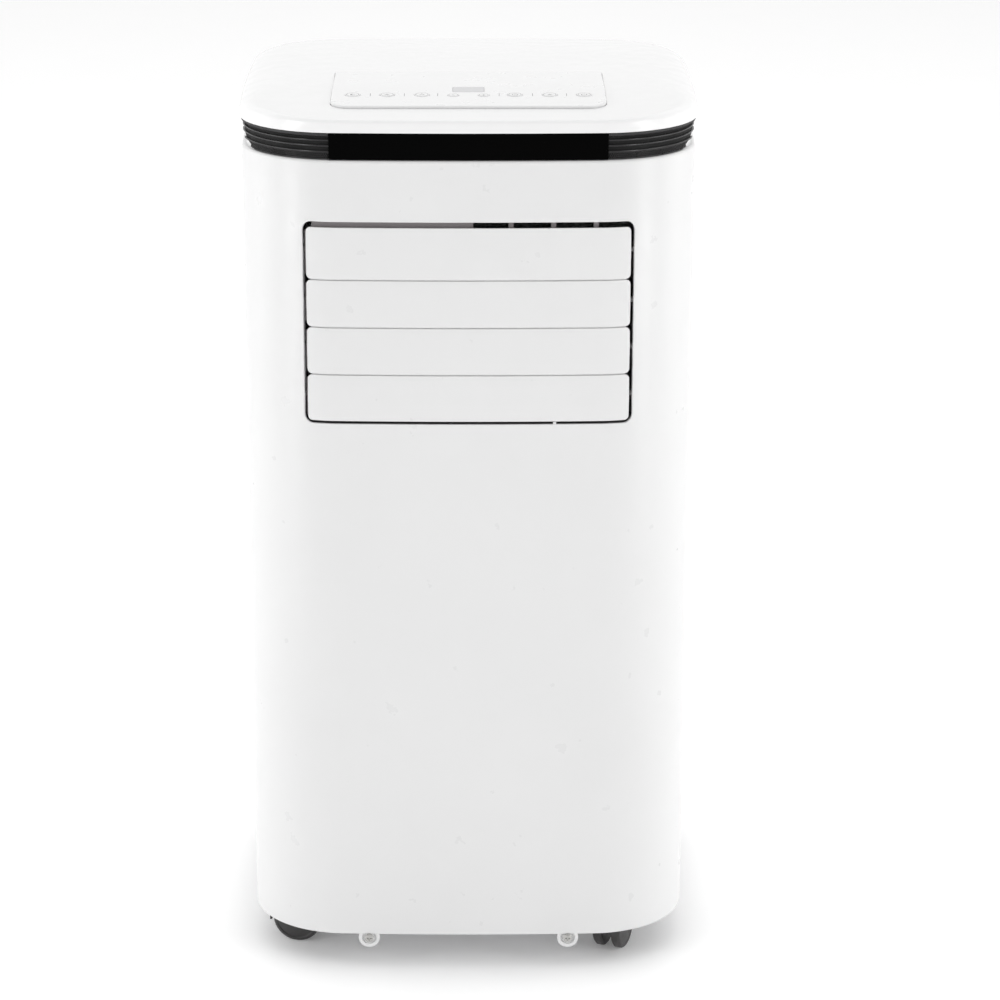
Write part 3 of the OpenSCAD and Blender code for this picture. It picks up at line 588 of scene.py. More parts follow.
def make_materials():
    plastic("shell_plastic", (0.705, 0.705, 0.705), 0.32, 0.5, depth=0.012)
    plastic("lid_plastic", (0.79, 0.79, 0.79), 0.22, 0.5, depth=0.005)
    plastic("band_plastic", (0.018, 0.017, 0.018), 0.28, 0.4, tint=0.2)
    plastic("window_gloss", (0.001, 0.001, 0.001), 0.12, 0.02, grain=300, depth=0.004, tint=0.1)
    plastic("display_glass", (0.55, 0.55, 0.56), 0.15, 0.5, grain=500, depth=0.004)
    plastic("key_plastic", (0.78, 0.78, 0.78), 0.3, 0.45, depth=0.006)
    plastic("frame_plastic", (0.26, 0.24, 0.245), 0.45, 0.35, tint=0.05)
    plastic("tray_plastic", (0.5, 0.5, 0.51), 0.5, 0.4)
    plastic("fan_plastic", (0.035, 0.035, 0.038), 0.45, 0.4)
    plastic("caster_plastic", (0.045, 0.043, 0.043), 0.4, 0.45, grain=900, depth=0.04, tint=0.1)
    plastic("dark_rubber", (0.012, 0.012, 0.012), 0.7, 0.2, grain=700, depth=0.08, tint=0.15)
    plastic("compressor_paint", (0.012, 0.012, 0.013), 0.3, 0.5, grain=260, depth=0.12, tint=0.2, coat=0.2)
    metal("screw_steel", (0.5, 0.495, 0.48), 0.3)
    metal("zinc_steel", (0.62, 0.63, 0.64), 0.38, (1, 1, 8))
    metal("motor_metal", (0.55, 0.55, 0.56), 0.35, (8, 1, 1))
    metal("pump_iron", (0.18, 0.17, 0.17), 0.6, scale=160)
    metal("coil_aluminium", (0.80, 0.81, 0.82), 0.3, (1, 8, 1))
    metal("copper", (0.72, 0.36, 0.2), 0.28, (8, 8, 1), tint=0.14)
    circuit_board()
    foam()


make_materials()

# ---------------------------------------------------------------- camera, light and floor


def make_camera():
    """The photograph's view: from the front, slightly above the lid."""
    data = bpy.data.cameras.new("view")
    data.lens, data.sensor_width = 120.45, 36
    data.shift_x, data.shift_y = 0.03156, -0.00865
    camera = bpy.data.objects.new("view", data)
    target, distance, elevation = Vector((0, 0, 0.35)), 2.764, math.radians(17.41)
    back = Vector((0, -math.cos(elevation), math.sin(elevation)))
    camera.location = target + back * distance
    camera.rotation_euler = (-back).to_track_quat("-Z", "Y").to_euler()
    bpy.context.scene.collection.objects.link(camera)
    bpy.context.scene.camera = camera


def area_light(name, location, target, size, power):
    data = bpy.data.lights.new(name, "AREA")
    data.shape, data.size, data.size_y, data.energy = "RECTANGLE", size[0], size[1], power
    lamp = bpy.data.objects.new(name, data)
    lamp.location = location
    lamp.rotation_euler = (Vector(target) - Vector(location)).to_track_quat("-Z", "Y").to_euler()
    bpy.context.scene.collection.objects.link(lamp)


def make_studio():
    """A white surround, dimmer behind the viewer, soft panels at both sides and above, a pale floor."""
    scene = bpy.context.scene
    scene.view_settings.view_transform = "Standard"
    world = bpy.data.worlds.new("studio")
    world.use_nodes = True
    nodes, links = world.node_tree.nodes, world.node_tree.links
    background = nodes["Background"]
    background.inputs["Color"].default_value = (1, 1, 1, 1)
    coords = nodes.new("ShaderNodeTexCoord")
    parts = nodes.new("ShaderNodeSeparateXYZ")
    fade = nodes.new("ShaderNodeMapRange")
    fade.inputs["From Min"].default_value = -0.4
    fade.inputs["From Max"].default_value = 0.3
    fade.inputs["To Min"].default_value = 0.57
    fade.inputs["To Max"].default_value = 1.0
    links.new(coords.outputs["Generated"], parts.inputs["Vector"])
    links.new(parts.outputs["Y"], fade.inputs["Value"])
    links.new(fade.outputs["Result"], background.inputs["Strength"])
    scene.world = world
    for side in (-1, 1):
        area_light(f"side_{side}", (side * 2.2, 0.3, 0.7), (0, 0, 0.4), (1.2, 2.0), 6.5)
        area_light(f"strip_{side}", (side * 1.9, -1.25, 0.6), (0, 0, 0.4), (0.5, 1.8), 15)
    area_light("ceiling", (0, 0.8, 3.4), (0, 0.8, 0), (6, 6), 53)
    floor = bpy.data.meshes.new("floor")
    reach = 30
    signs = ((-1, -1), (1, -1), (1, 1), (-1, 1))
    floor.from_pydata([(reach * x, reach * y, 0) for x, y in signs], [], [(0, 1, 2, 3)])
    plastic("floor_paint", (0.93, 0.93, 0.93), 0.6, 0.2, grain=40, depth=0.2, tint=0.004)
    glow = FINISH["floor_paint"].node_tree.nodes["Principled BSDF"]
    glow.inputs["Emission Color"].default_value = (1, 1, 1, 1)
    glow.inputs["Emission Strength"].default_value = 0.11
    floor.materials.append(FINISH["floor_paint"])
    ground = bpy.data.objects.new("floor", floor)
    bpy.context.scene.collection.objects.link(ground)


make_camera()
make_studio()

# ---------------------------------------------------------------- cabinet shells

EDGE_R, FOOT_R = 2.6, 0.5
ARC_Z = SHOULDER_Z - EDGE_R
ARC_LENGTH = EDGE_R * math.pi / 2
FLAT_LENGTH = NECK_INSET - INSET - EDGE_R - FOOT_R
FOOT_LENGTH = FOOT_R * math.pi / 2
V_TOP = ARC_Z + ARC_LENGTH + FLAT_LENGTH + FOOT_LENGTH + LID_Z0 - SHOULDER_Z - FOOT_R


def shell_profile(v):
    """Inset, height and (inset, height) normal of the shell at length v up its wall."""
    if v <= ARC_Z:
        return INSET, v, -1.0, 0.0
    v -= ARC_Z
    if v <= ARC_LENGTH:
        a = v / EDGE_R
        return INSET + EDGE_R * (1 - math.cos(a)), ARC_Z + EDGE_R * math.sin(a), -math.cos(a), math.sin(a)
    v -= ARC_LENGTH
    if v <= FLAT_LENGTH:
        return INSET + EDGE_R + v, SHOULDER_Z, 0.0, 1.0
    v -= FLAT_LENGTH
    if v <= FOOT_LENGTH:
        a = v / FOOT_R
        t = NECK_INSET - FOOT_R + FOOT_R * math.sin(a)
        return t, SHOULDER_Z + FOOT_R * (1 - math.cos(a)), -math.sin(a), math.cos(a)
    return NECK_INSET, SHOULDER_Z + FOOT_R + v - FOOT_LENGTH, -1.0, 0.0


def shell_surface(turn):
    """The cabinet's wall seen from the front (turn 1) or from behind (turn -1)."""
    def surface(s, v, depth):
        t, z, across, up = shell_profile(v)
        p, _ = plan_at(s, t - across * depth)
        return Vector((turn * p.x, turn * p.y, z - up * depth))
    return surface


def wall_surface(t, turn=1, crown=None):
    """The outline moved in by t, straight up; crown gives an extra inset for a height."""
    def surface(s, z, depth):
        p, _ = plan_at(s, t + depth + (crown(z) if crown else 0))
        return Vector((turn * p.x, turn * p.y, z))
    return surface


SHELL_ROWS = spread(BODY_Z0, ARC_Z, 32)[1:]
SHELL_ROWS += [ARC_Z + ARC_LENGTH * k / 4 for k in range(1, 5)]
SHELL_ROWS += [ARC_Z + ARC_LENGTH + FLAT_LENGTH + FOOT_LENGTH * k / 3 for k in range(4)]
SHELL_ROWS += [V_TOP - 10]


def wall_window(x, z, r):
    """Outline of a window cut straight through the front or back wall."""
    return rectangle(s_at_x(-x), s_at_x(x), z[0], z[1], r, 7)


def make_shells():
    seam = s_at_y(SEAM_Y)
    front = Piece()
    outer = rectangle(-seam, seam, BODY_Z0, V_TOP, 0.8)
    holes = [wall_window(WINDOW_X, WINDOW_Z, WINDOW_R)]
    grip = [s_at_y(HANDLE_Y + end * (GRIP_HALF_W + 3)) for end in (-1, 1)]
    for side in (1, -1):
        low, high = sorted((side * grip[0], side * grip[1]))
        half_h = GRIP_HALF_H + 3
        holes.append(rectangle(low, high, HANDLE_Z - half_h, HANDLE_Z + half_h, 4))
    sheet(front, shell_surface(1), outer, holes, WALL, 0.7, u_lines=stations(-seam, seam), v_lines=SHELL_ROWS)
    tab = [(2.1, 0), (8.5, 0), (8.5, 2.2), (5.8, 2.2), (5.4, 0.7), (4.1, 0.7), (3.9, 2.2), (2.1, 2.2)]
    for side in (-1, 1):
        lathe(front, turned(tab, 0.25), (side * TAB_X, TAB_Y, TAB_Z), (0, -1, 0))
    nub = rectangle(s_at_x(65), s_at_x(67.5), WINDOW_Z[0] - 1, WINDOW_Z[0] + 1.7, 0.5)
    sheet(front, wall_surface(INSET + 0.6), nub, (), 1.4, 0.4)
    front.make("shell_front", "case", ["shell_plastic"], ["front_panel"])

    rear = Piece()
    half = 2 * QUARTER - s_at_y(SEAM_Y + SEAM_GAP)
    outer = rectangle(-half, half, BODY_Z0, V_TOP, 0.8)
    holes = [wall_window(FILTER_X, z, 8) for z in FILTER_Z.values()]
    holes.append(circle(0, COLLAR_Z, COLLAR_HOLE_R, 72))
    holes.append(circle(s_at_x(-GLAND_X), GLAND_Z, GLAND_HOLE_R, 32))
    holes.append(circle(s_at_x(-DRAIN_X), DRAIN_Z, DRAIN_HOLE_R, 32))
    sheet(rear, shell_surface(-1), outer, holes, WALL, 0.7, u_lines=stations(-half, half), v_lines=SHELL_ROWS)
    rear.make("shell_rear", "case", ["shell_plastic"], ["rear_panel"])


make_shells()

# ---------------------------------------------------------------- lid


def softer_min(a, b, blend):
    """The lower of two heights, with the crease between them smoothed."""
    share = max(0.0, 1 - abs(a - b) / blend)
    return min(a, b) - share * share * blend / 4


def lid_height(t, y):
    rise = max(0.0, min(1.0, t / SHOULDER_REACH))
    shoulder = LID_Z0 + LIP_H + SHOULDER_RISE * math.sqrt(1 - (1 - rise) ** 3)
    arch = TOP_Z - (y - DOME_Y) ** 2 / (2 * DOME_R)
    return softer_min(shoulder, arch, 0.8)


def lid_surface(thick):
    """The lid over its plan; the ring of plan outside the outline stands for the upright lip."""
    def surface(x, y, depth):
        p = Vector((x, y))
        t, normal = inside_by(p)
        deep_t = max(t, thick)
        under = p - normal * (deep_t - t)
        deep = lid_height(deep_t, under.y) - thick - 0.3 * max(0.0, thick - max(t, 0.0))
        if t < 0:
            low = LID_Z0
            outer = Vector((*(p + normal * t), low + LIP_H + t))
            inner = Vector((*under, low + (deep - low) * (LIP_H + t) / LIP_H))
        else:
            outer = Vector((*p, lid_height(t, y)))
            inner = Vector((*under, deep))
        return outer.lerp(inner, depth / thick)
    return surface


def pad_outline(grow):
    x, front, back = PAD_X + grow, PAD_FRONT - grow, PAD_BACK + grow
    return rounded([(-x, front, PAD_R + grow), (x, front, PAD_R + grow), (x, back, 2), (-x, back, 2)], 2, 8)


def make_lid():
    lid = Piece()
    places = stations(-2 * QUARTER, 2 * QUARTER, 3.2, 12)[:-1]
    outer = [plan_at(s, -LIP_H) for s in places]
    rows = [-3.5, 0, 0.25, 0.7, 1.5, 2.6, 4, 6, 9, 13, 18, 25, 33, 43]
    extra = [plan_at(s, t)[0] for t in rows for s in places]
    extra += [(x, y) for x in spread(-120, 120, 12) for y in spread(-115, 115, 12)]
    thick = 2.6
    sheet(lid, lid_surface(thick), outer, [pad_outline(0.2)], thick, 0.35, 0.3, extra=extra)
    lid.make("lid", "case", ["lid_plastic"], ["top_cover"])


def pad_surface(x, y, depth):
    slope = PAD_FRONT_Z + (y - PAD_FRONT) * PAD_SLOPE
    return Vector((x, y, softer_min(slope, TOP_Z, 0.8) - depth))


KEYS = [(x, KEY_Y, 5.8) for x in (-88.5, -62.2, -35.6, 35.6, 62.2, 88.5)]
KEYS += [(x, SMALL_KEY_Y, 4.2) for x in (-11.7, 11.7)]
DISPLAY = (-12, 12, DISPLAY_Y - 8, DISPLAY_Y + 8)


def make_pad():
    pad = Piece()
    holes = [circle(x, y, r + 0.3, 40) for x, y, r in KEYS]
    holes.append(rectangle(DISPLAY[0] - 0.15, DISPLAY[1] + 0.15, DISPLAY[2] - 0.15, DISPLAY[3] + 0.15, 1.5))
    lines_x, lines_y = spread(-PAD_X, PAD_X, 10), spread(PAD_FRONT, PAD_BACK, 8)
    sheet(pad, pad_surface, pad_outline(0), holes, 3, 1.3, 0.2, u_lines=lines_x, v_lines=lines_y, steps=5)
    pad.material = 1
    for x in (-75, -49, -23.5, 23.5, 49, 75):
        tick = rectangle(x - 0.2, x + 0.2, KEY_Y - 4, KEY_Y + 4, 0.15, 2)
        sheet(pad, raised_pad(0.03), tick, (), 0.3, 0.02, steps=1)
    pad.make("pad", "case", ["key_plastic", "print_grey"], ["control_pad"])
    glass = Piece()
    sheet(glass, raised_pad(0.05), rectangle(*DISPLAY, 1.4), (), 2, 0.25)
    glass.make("display_glass", "case", ["display_glass"], ["display_window"])


def raised_pad(height):
    def surface(x, y, depth):
        return pad_surface(x, y, depth - height)
    return surface


def key_glyph(piece, surface, kind, x, y, r):
    """A thin printed mark: a ring, and a plain bar, dot or arc inside it."""
    def mark(outline, *holes):
        sheet(piece, surface, outline, holes, 0.3, 0.02, steps=1)

    mark(circle(x, y, r * 0.86, 40), circle(x, y, r * 0.79, 40))
    bar = 0.22
    if kind == "power":
        arc = [math.radians(130 + 280 * k / 14) for k in range(15)]
        outer = [Vector((x + 2.3 * math.cos(a), y + 2.3 * math.sin(a))) for a in arc]
        inner = [Vector((x + 1.8 * math.cos(a), y + 1.8 * math.sin(a))) for a in reversed(arc)]
        mark(rounded([tuple(p) for p in outer + inner], 0.05, 1))
        mark(rectangle(x - bar, x + bar, y + 0.4, y + 2.6, 0.1, 2))
    if kind == "bars":
        for k, w in enumerate((2.2, 1.5, 0.8)):
            z = y - 1.3 + 1.3 * k
            mark(rectangle(x - w, x + w, z - bar, z + bar, 0.1, 2))
    if kind == "dots":
        for a in (90, 210, 330):
            at = (x + 1.5 * math.cos(math.radians(a)), y + 1.5 * math.sin(math.radians(a)))
            mark(circle(*at, 0.7, 16))
    if kind == "clock":
        mark(circle(x, y, 2.4, 32), circle(x, y, 2.0, 32))
        mark(rectangle(x - bar, x + bar, y, y + 1.6, 0.1, 2))
    if kind == "moon":
        mark(circle(x, y, 1.9, 32), circle(x + 0.5, y + 0.4, 1.25, 32))
    if kind in ("minus", "plus"):
        mark(rectangle(x - 1.6, x + 1.6, y - bar, y + bar, 0.1, 2))
    if kind == "plus":
        for side in (-1, 1):
            low, high = sorted((y + side * bar, y + side * 1.6))
            mark(rectangle(x - bar, x + bar, low, high, 0.1, 2))


def make_keys():
    kinds = ["moon", "bars", "dots", "clock", "bars", "power", "minus", "plus"]
    tilt = Vector((0, -PAD_SLOPE, 1)).normalized()
    for number, ((x, y, r), kind) in enumerate(zip(KEYS, kinds), 1):
        cap = Piece()
        top = pad_surface(x, y, 0)
        dish = [(0, 0.12), (r * 0.5, 0.16), (r - 1.4, 0.28), (r, 0.28)]
        profile = turned([(0, -4), (r + 0.9, -4), (r + 0.9, -3.4), (r, -3.3)] + dish[::-1], 0.25)
        lathe(cap, profile, top, tilt, 48)
        cap.material = 1

        def face(u, v, depth, x=x, y=y, r=r):
            away = min(1.0, math.hypot(u - x, v - y) / (r - 1.4))
            return pad_surface(u, v, depth - 0.15 - 0.15 * away * away)

        key_glyph(cap, face, kind, x, y, r)
        cap.make(f"key_cap_{number}", f"key_{number}", ["key_plastic", "print_grey"], [f"key_{number}"])


plastic("print_grey", (0.2, 0.2, 0.2), 0.5, 0.3)
make_lid()
make_pad()
make_keys()

# ---------------------------------------------------------------- dark band under the lid

BAND_Z = (SHOULDER_Z + 0.3, LID_Z0 - 0.3)
BAND_IN = NECK_INSET - 0.1
BAND_ENDS = (-132, -62)
FINS_Z = (668.5, 673, 677.2)
FIN_H = 1.4
GROOVE_IN, FIN_IN, FLARE_IN, SKIRT_IN = 4, 2.4, 0.8, 3


def band_end(z):
    """The band's ends are cut slanting: where it ends along the outline at a height."""
    low, high = BAND_ENDS
    return s_at_y(low + (high - low) * (z - BAND_Z[0]) / (BAND_Z[1] - BAND_Z[0]))


def band_strip(corners):
    return rounded(corners, 0.3, 4)


def make_band():
    """Black backing, dulled and darkened as painted shade for the grooves, with a flare under the lid, three
    fins, a skirt and a strip of crossed wires.
    """
    band = Piece()
    start = s_at_x(PAD_X + 0.3)
    low, high = BAND_Z
    back = GROOVE_IN + 0.3
    levels = spread(low, high, 1.4)
    face = [(Vector((GROOVE_IN, z)), Vector((-1, 0))) for z in reversed(levels)]
    rear = [(Vector((BAND_IN, z)), Vector((1, 0))) for z in levels]
    # The backing between the fins takes the dull dark_rubber finish instead of band_plastic: painted shade
    # that keeps the grooves black.
    strips = [(1, face + rear)]
    flare = [(back, high - 3.3), (back, high), (FLARE_IN, high, 0.35), (FLARE_IN + 0.3, high - 2.2, 1.2)]
    strips.append((0, band_strip(flare)))
    for z in FINS_Z:
        top = z + FIN_H
        fin = [(back, z), (back, top), (FIN_IN + 0.2, top), (FIN_IN, z + 0.5, 0.45), (FIN_IN + 0.4, z)]
        strips.append((0, band_strip(fin)))
    strips.append((0, band_strip([(back, low), (back, low + 0.9), (SKIRT_IN, low + 0.8), (SKIRT_IN, low)])))
    wire_in, wire_low, wire_high = SKIRT_IN + 0.4, low + 4.5, low + 5.1
    wire = [(back, wire_low), (back, wire_high), (wire_in, wire_high), (wire_in, wire_low)]
    strips.append((0, band_strip(wire)))
    for side in (-1, 1):
        def position(share, p, side=side):
            s = start + share * (band_end(p.y) - start)
            q, _ = plan_at(side * s, p.x)
            return Vector((q.x, q.y, p.y))
        for band.material, outline in strips:
            sweep(band, outline, position, spread(0, 1, 0.016))
        mesh_end = band_end(low + 2.5) - 1.6
        for s in spread(start + 1.6, mesh_end, 1.7):
            for lean in (-1, 1):
                def strand(share, p, s=s, side=side, lean=lean):
                    along = s + p.x + lean * 1.2 * (2 * share - 1)
                    q, _ = plan_at(side * along, SKIRT_IN + 0.5 - p.y)
                    return Vector((q.x, q.y, low + 0.7 + 4 * share))
                sweep(band, rectangle(-0.18, 0.18, -0.3, 0.22, 0.12, 2), strand, (0, 1))
    band.make("vent_band_grille", "case", ["band_plastic", "dark_rubber"], ["vent_band"])

    window = Piece()
    outer = rectangle(s_at_x(-PAD_X, 2), s_at_x(PAD_X, 2), BAND_Z[0], BAND_Z[1], 0.3)
    span = stations(s_at_x(-PAD_X, 2), s_at_x(PAD_X, 2), 3, 10)
    sheet(window, wall_surface(2), outer, (), BAND_IN - 2, 0.3, u_lines=span, v_lines=(668, 673, 678))
    window.make("window_gloss_front", "case", ["window_gloss"], ["ir_window"])


make_band()

# ---------------------------------------------------------------- louvres

FRAME_X, FRAME_T, FRAME_BACK = 129, 3.5, -128
FRAME_Z = (455.5, 620)
GUARD_PITCH = 32.3
FLANGE_X, FLANGE_IN = (-1.1, 1.5), INSET + 3.6
CRANK_Y = PIVOT_Y + CRANK_R * math.cos(math.radians(CRANK_DEG))
CRANK_DZ = CRANK_R * math.sin(math.radians(CRANK_DEG))


def louver_span(number):
    """Lowest and highest z of a louvre, counted from the top."""
    if number == 1:
        low = LOUVER_Z0 + 3 * LOUVER_PITCH
        return low, low + LOUVER_TOP_H
    low = LOUVER_Z0 + (4 - number) * LOUVER_PITCH
    return low, low + LOUVER_PITCH - LOUVER_GAP


def add_draught_lip(blade, side, high):
    """The raised lip behind the top louvre's left half, and the lugs along its right half."""
    shelf = rectangle(-side + 3, side - 3, high - 3, high - 1, 0.5)
    span = stations(-side + 3, side - 3, 3.2, 12)
    sheet(blade, wall_surface(INSET + 2.9), shelf, (), 3.4, 0.3, u_lines=span)
    spans = [(-side + 3, s_at_x(3.7))]
    spans += [(s_at_x(i * GUARD_PITCH - 2), s_at_x(i * GUARD_PITCH + 2)) for i in (1, 2, 3)]
    for left, right in spans:
        lip = rectangle(left, right, high - 2, WINDOW_Z[1] - 0.2, 0.4)
        sheet(blade, wall_surface(INSET + 5), lip, (), 1.2, 0.3, u_lines=stations(left, right, 3.2, 12))


def make_louver(number):
    """A crowned blade with a shiplap edge behind its top, end plates, pivots and crank.

    A dark flange beside its left end fills the gap to the window, clear of the link bar.
    """
    blade = Piece()
    low, high = louver_span(number)
    middle, half = (low + high) / 2, (high - low) / 2

    def crown(z):
        return 0.35 * ((z - middle) / half) ** 4

    side = s_at_x(LOUVER_X)
    span, rows = stations(-side, side, 3.2, 12), spread(low, high, 5)
    outer = rectangle(-side, side, low, high, 3.5, 6)
    sheet(blade, wall_surface(INSET, 1, crown), outer, (), 1.2, 0.45, u_lines=span, v_lines=rows)
    stiffener = rectangle(-side + 1.5, side - 1.5, low + 2.6, high - 0.8, 2)
    sheet(blade, wall_surface(INSET + 1.1), stiffener, (), 1.9, 0.3, u_lines=span)
    if number > 1:
        lap = rectangle(-side + 3, side - 3, high - 2, high + 1.6, 0.4)
        sheet(blade, wall_surface(INSET + 1.65), lap, (), 1, 0.3, u_lines=span)
    blade.material = 1
    if number == 1:
        add_draught_lip(blade, side, high)
    left, right = (s_at_x(x - LOUVER_X, FLANGE_IN) for x in FLANGE_X)
    flange = rectangle(left, right, low + 3, high - 3, 1)
    sheet(blade, wall_surface(FLANGE_IN), flange, (), 1.4, 0.3)
    blade.material = 0
    for x in (-LOUVER_X, LOUVER_X):
        inner = x - math.copysign(2, x)
        low_x, high_x = min(x, inner), max(x, inner)
        back_y = PIVOT_Y + 5
        ear = [(-164, middle - 6), (back_y, middle - 5), (back_y, middle + 5), (-164, middle + 6)]
        plate(blade, "x", low_x, high_x, rounded(ear, 2.5), lip=0.4)
    pin_end = 139 if number == 2 else FRAME_X + 3
    rod(blade, (LOUVER_X - 1, PIVOT_Y, middle), (pin_end, PIVOT_Y, middle), 2)
    rod(blade, (-LOUVER_X + 1, PIVOT_Y, middle), (-FRAME_X - 3, PIVOT_Y, middle), 2)
    turn = Matrix.Rotation(math.radians(CRANK_DEG), 4, "X")
    blade.place = Matrix.Translation((-LOUVER_X, PIVOT_Y, middle)) @ turn
    tip = CRANK_R + 2.4
    plate(blade, "x", 0, 2, rounded([(0, -3), (tip, -2.4), (tip, 2.4), (0, 3)], 2), lip=0.3)
    blade.place = Matrix.Identity(4)
    pin_z = middle + CRANK_DZ
    rod(blade, (-LOUVER_X + 1, CRANK_Y, pin_z), (-LOUVER_X - 5, CRANK_Y, pin_z), 1.25)
    name = f"louver_{number}"
    blade.make(f"louver_blade_{number}", name, ["shell_plastic", "frame_plastic"], [name])


def make_louver_frame():
    """Dark liner behind the window, with guard bars and pivot bosses."""
    liner = Piece()
    out_x, z0, z1 = FRAME_X + FRAME_T, FRAME_Z[0] - FRAME_T, FRAME_Z[1] + FRAME_T
    front = INSET + WALL + 0.3
    for level, top in ((FRAME_Z[0], FRAME_Z[0] - FRAME_T), (FRAME_Z[1] + FRAME_T, FRAME_Z[1])):
        edge = [plan_at(s, front)[0] for s in stations(s_at_x(-out_x, front), s_at_x(out_x, front), 3.2, 12)]
        outline = rounded([tuple(p) for p in edge] + [(out_x, FRAME_BACK), (-out_x, FRAME_BACK)], 0.6, 2)
        plate(liner, "z", top, level, outline, lip=0.3)
    for side in (-1, 1):
        low, high = sorted((side * FRAME_X, side * out_x))
        front_y = plan_at(s_at_x(side * out_x, front), front)[0].y
        wall = rectangle(front_y, FRAME_BACK, z0 + 1, z1 - 1, 0.6)
        holes = [circle(PIVOT_Y, sum(louver_span(n)) / 2, 2.15, 24) for n in range(1, 5)]
        plate(liner, "x", low, high, wall, holes, lip=0.2)
        for n in range(1, 5):
            middle = sum(louver_span(n)) / 2
            x = side * FRAME_X
            boss = turned([(2.2, 0), (4.2, 0), (4.2, 1.4), (2.2, 1.4)], 0.2)
            lathe(liner, boss, (x, PIVOT_Y, middle), (-side, 0, 0), 32)
    for i in range(-3, 4):
        x = i * GUARD_PITCH
        bar = rectangle(x - 1.8, x + 1.8, -136, -130, 1.2, 3)
        plate(liner, "z", FRAME_Z[0] - 1, FRAME_Z[1] + 1, bar, lip=0.3)
    liner.make("louver_liner", "case", ["frame_plastic"], ["louver_frame"])


def make_link():
    """The bar that joins the four cranks, with an eye round each pin."""
    link = Piece()
    x0 = -LOUVER_X - 4
    eyes = [sum(louver_span(n)) / 2 + CRANK_DZ for n in range(1, 5)]
    bar = rectangle(CRANK_Y - 3, CRANK_Y + 3, min(eyes) - 4, max(eyes) + 4, 2.8, 8)
    plate(link, "x", x0, x0 + 2.2, bar, [circle(CRANK_Y, z, 1.5, 24) for z in eyes], lip=0.25)
    link.make("link_bar", "louver_link", ["zinc_steel"], ["louver_link"])


for louver_number in range(1, 5):
    make_louver(louver_number)
make_louver_frame()
make_link()

# ---------------------------------------------------------------- grips, filters and rear fittings


def make_grips():
    """Recessed cups: a thin flange on the shell and a rounded tray behind it."""
    grips = Piece()
    for side in (-1, 1):
        outlines = []
        for grow, r in ((8, 9), (0, GRIP_R)):
            reach = GRIP_HALF_W + grow
            low, high = sorted(side * s_at_y(HANDLE_Y + end * reach, 0.4) for end in (-1, 1))
            half_h = GRIP_HALF_H + grow
            outlines.append(rectangle(low, high, HANDLE_Z - half_h, HANDLE_Z + half_h, r, 6))
        outer, hole = outlines
        sheet(grips, wall_surface(0.4), outer, [hole], 1.05, 0.5, u_lines=stations(*outer_span(outer)))
        rows = [(0, 176.0), (0, 152), (-0.6, 150.2), (-2.2, 149.0), (-5, 148.6)]
        back = [(2.5, 175.6), (2.5, 150), (1.6, 147.6), (-0.6, 146.3), (-5, 146.1)]
        tray_half(grips, side, rows, 1)
        tray_half(grips, side, back, -1)
    grips.make("grip_cups", "case", ["shell_plastic"], ["side_handles"])


def outer_span(outline):
    values = [p.x for p, _ in outline]
    return min(values), max(values)


def tray_half(piece, side, rows, facing):
    """One face of a grip cup: rounded rectangles that step inwards, then its floor."""
    rings = []
    for grow, x in rows:
        half_w, half_h = GRIP_HALF_W + grow, GRIP_HALF_H + grow
        across, up = (HANDLE_Y - half_w, HANDLE_Y + half_w), (HANDLE_Z - half_h, HANDLE_Z + half_h)
        ring = rectangle(*across, *up, GRIP_R, 6)
        rings.append([piece.point((side * x, p.x, p.y), (0, -facing * n.x, -facing * n.y)) for p, n in ring])
    for a, b in zip(rings, rings[1:]):
        piece.band(a, b)
    piece.face(rings[-1], True)


def make_filter(name):
    """Pull-out grille: rows of slots in a bowed panel, a rim behind it and a woven screen."""
    low, high = (z + d for z, d in zip(FILTER_Z[name], (0.7, -0.7)))
    x = FILTER_X - 0.7
    side = s_at_x(x)
    rows = math.floor((high - low - 20) / 9)
    start = low + (high - low - rows * 9) / 2
    slots = []
    for column in (-1, 0, 1):
        left, right = s_at_x(column * 80 - 37), s_at_x(column * 80 + 37)
        for i in range(rows):
            z = start + i * 9 + 2
            slots.append(rectangle(left, right, z, z + 5, 2.4, 4))
    grille = Piece()
    span = stations(-side, side, 4, 14)
    outer = rectangle(-side, side, low, high, 7.3, 6)
    levels = spread(low, high, 30)
    sheet(grille, wall_surface(INSET, -1), outer, slots, 3, 0.7, 0.5, u_lines=span, v_lines=levels)
    inner = rectangle(-side + 3, side - 3, low + 3, high - 3, 5, 6)
    sheet(grille, wall_surface(INSET + 3, -1), outer, [inner], 6, 0.3, u_lines=span)
    for dx in (-4, 0, 4):
        ridge = rectangle(s_at_x(dx - 0.8), s_at_x(dx + 0.8), high - 8.2, high - 3.4, 0.7, 3)
        sheet(grille, wall_surface(INSET - 0.5, -1), ridge, (), 0.8, 0.35)
    grille.make(f"filter_grille_{name}", f"filter_{name}", ["shell_plastic"], [f"filter_{name}"])

    screen = Piece()
    depth, thread, pitch = INSET + 7.8, 0.28, 2.4
    half = thread / 2
    for s in spread(-side + 3.2, side - 3.2, pitch):
        screen_strip(screen, s - half, s + half, low + 3, high - 3, depth, True)
    for z in spread(low + 3.2, high - 3.2, pitch):
        screen_strip(screen, -side + 3, side - 3, z - half, z + half, depth + 0.2, False)
    screen.make(f"filter_screen_{name}", f"filter_{name}", ["fan_plastic"])


def screen_strip(piece, s0, s1, z0, z1, depth, upright):
    """One flat thread of the screen, upright or across; one across bends with the wall."""
    places = [s0, s1] if upright else stations(s0, s1, 8, 24)
    rows = []
    for d in (0, 0.25):
        for z in (z0, z1):
            row = []
            for s in places:
                p, n = plan_at(s, depth + d)
                normal = Vector((-n.x, -n.y, 0)) * (1 if d == 0 else -1)
                row.append(piece.point((-p.x, -p.y, z), normal))
            rows.append(row)
    a, b, c, d = rows
    for first, second in ((a, b), (b, d), (d, c), (c, a)):
        piece.band(first, second, False, True)
    piece.face([a[0], b[0], d[0], c[0]], True)
    piece.face([a[-1], c[-1], d[-1], b[-1]], True)


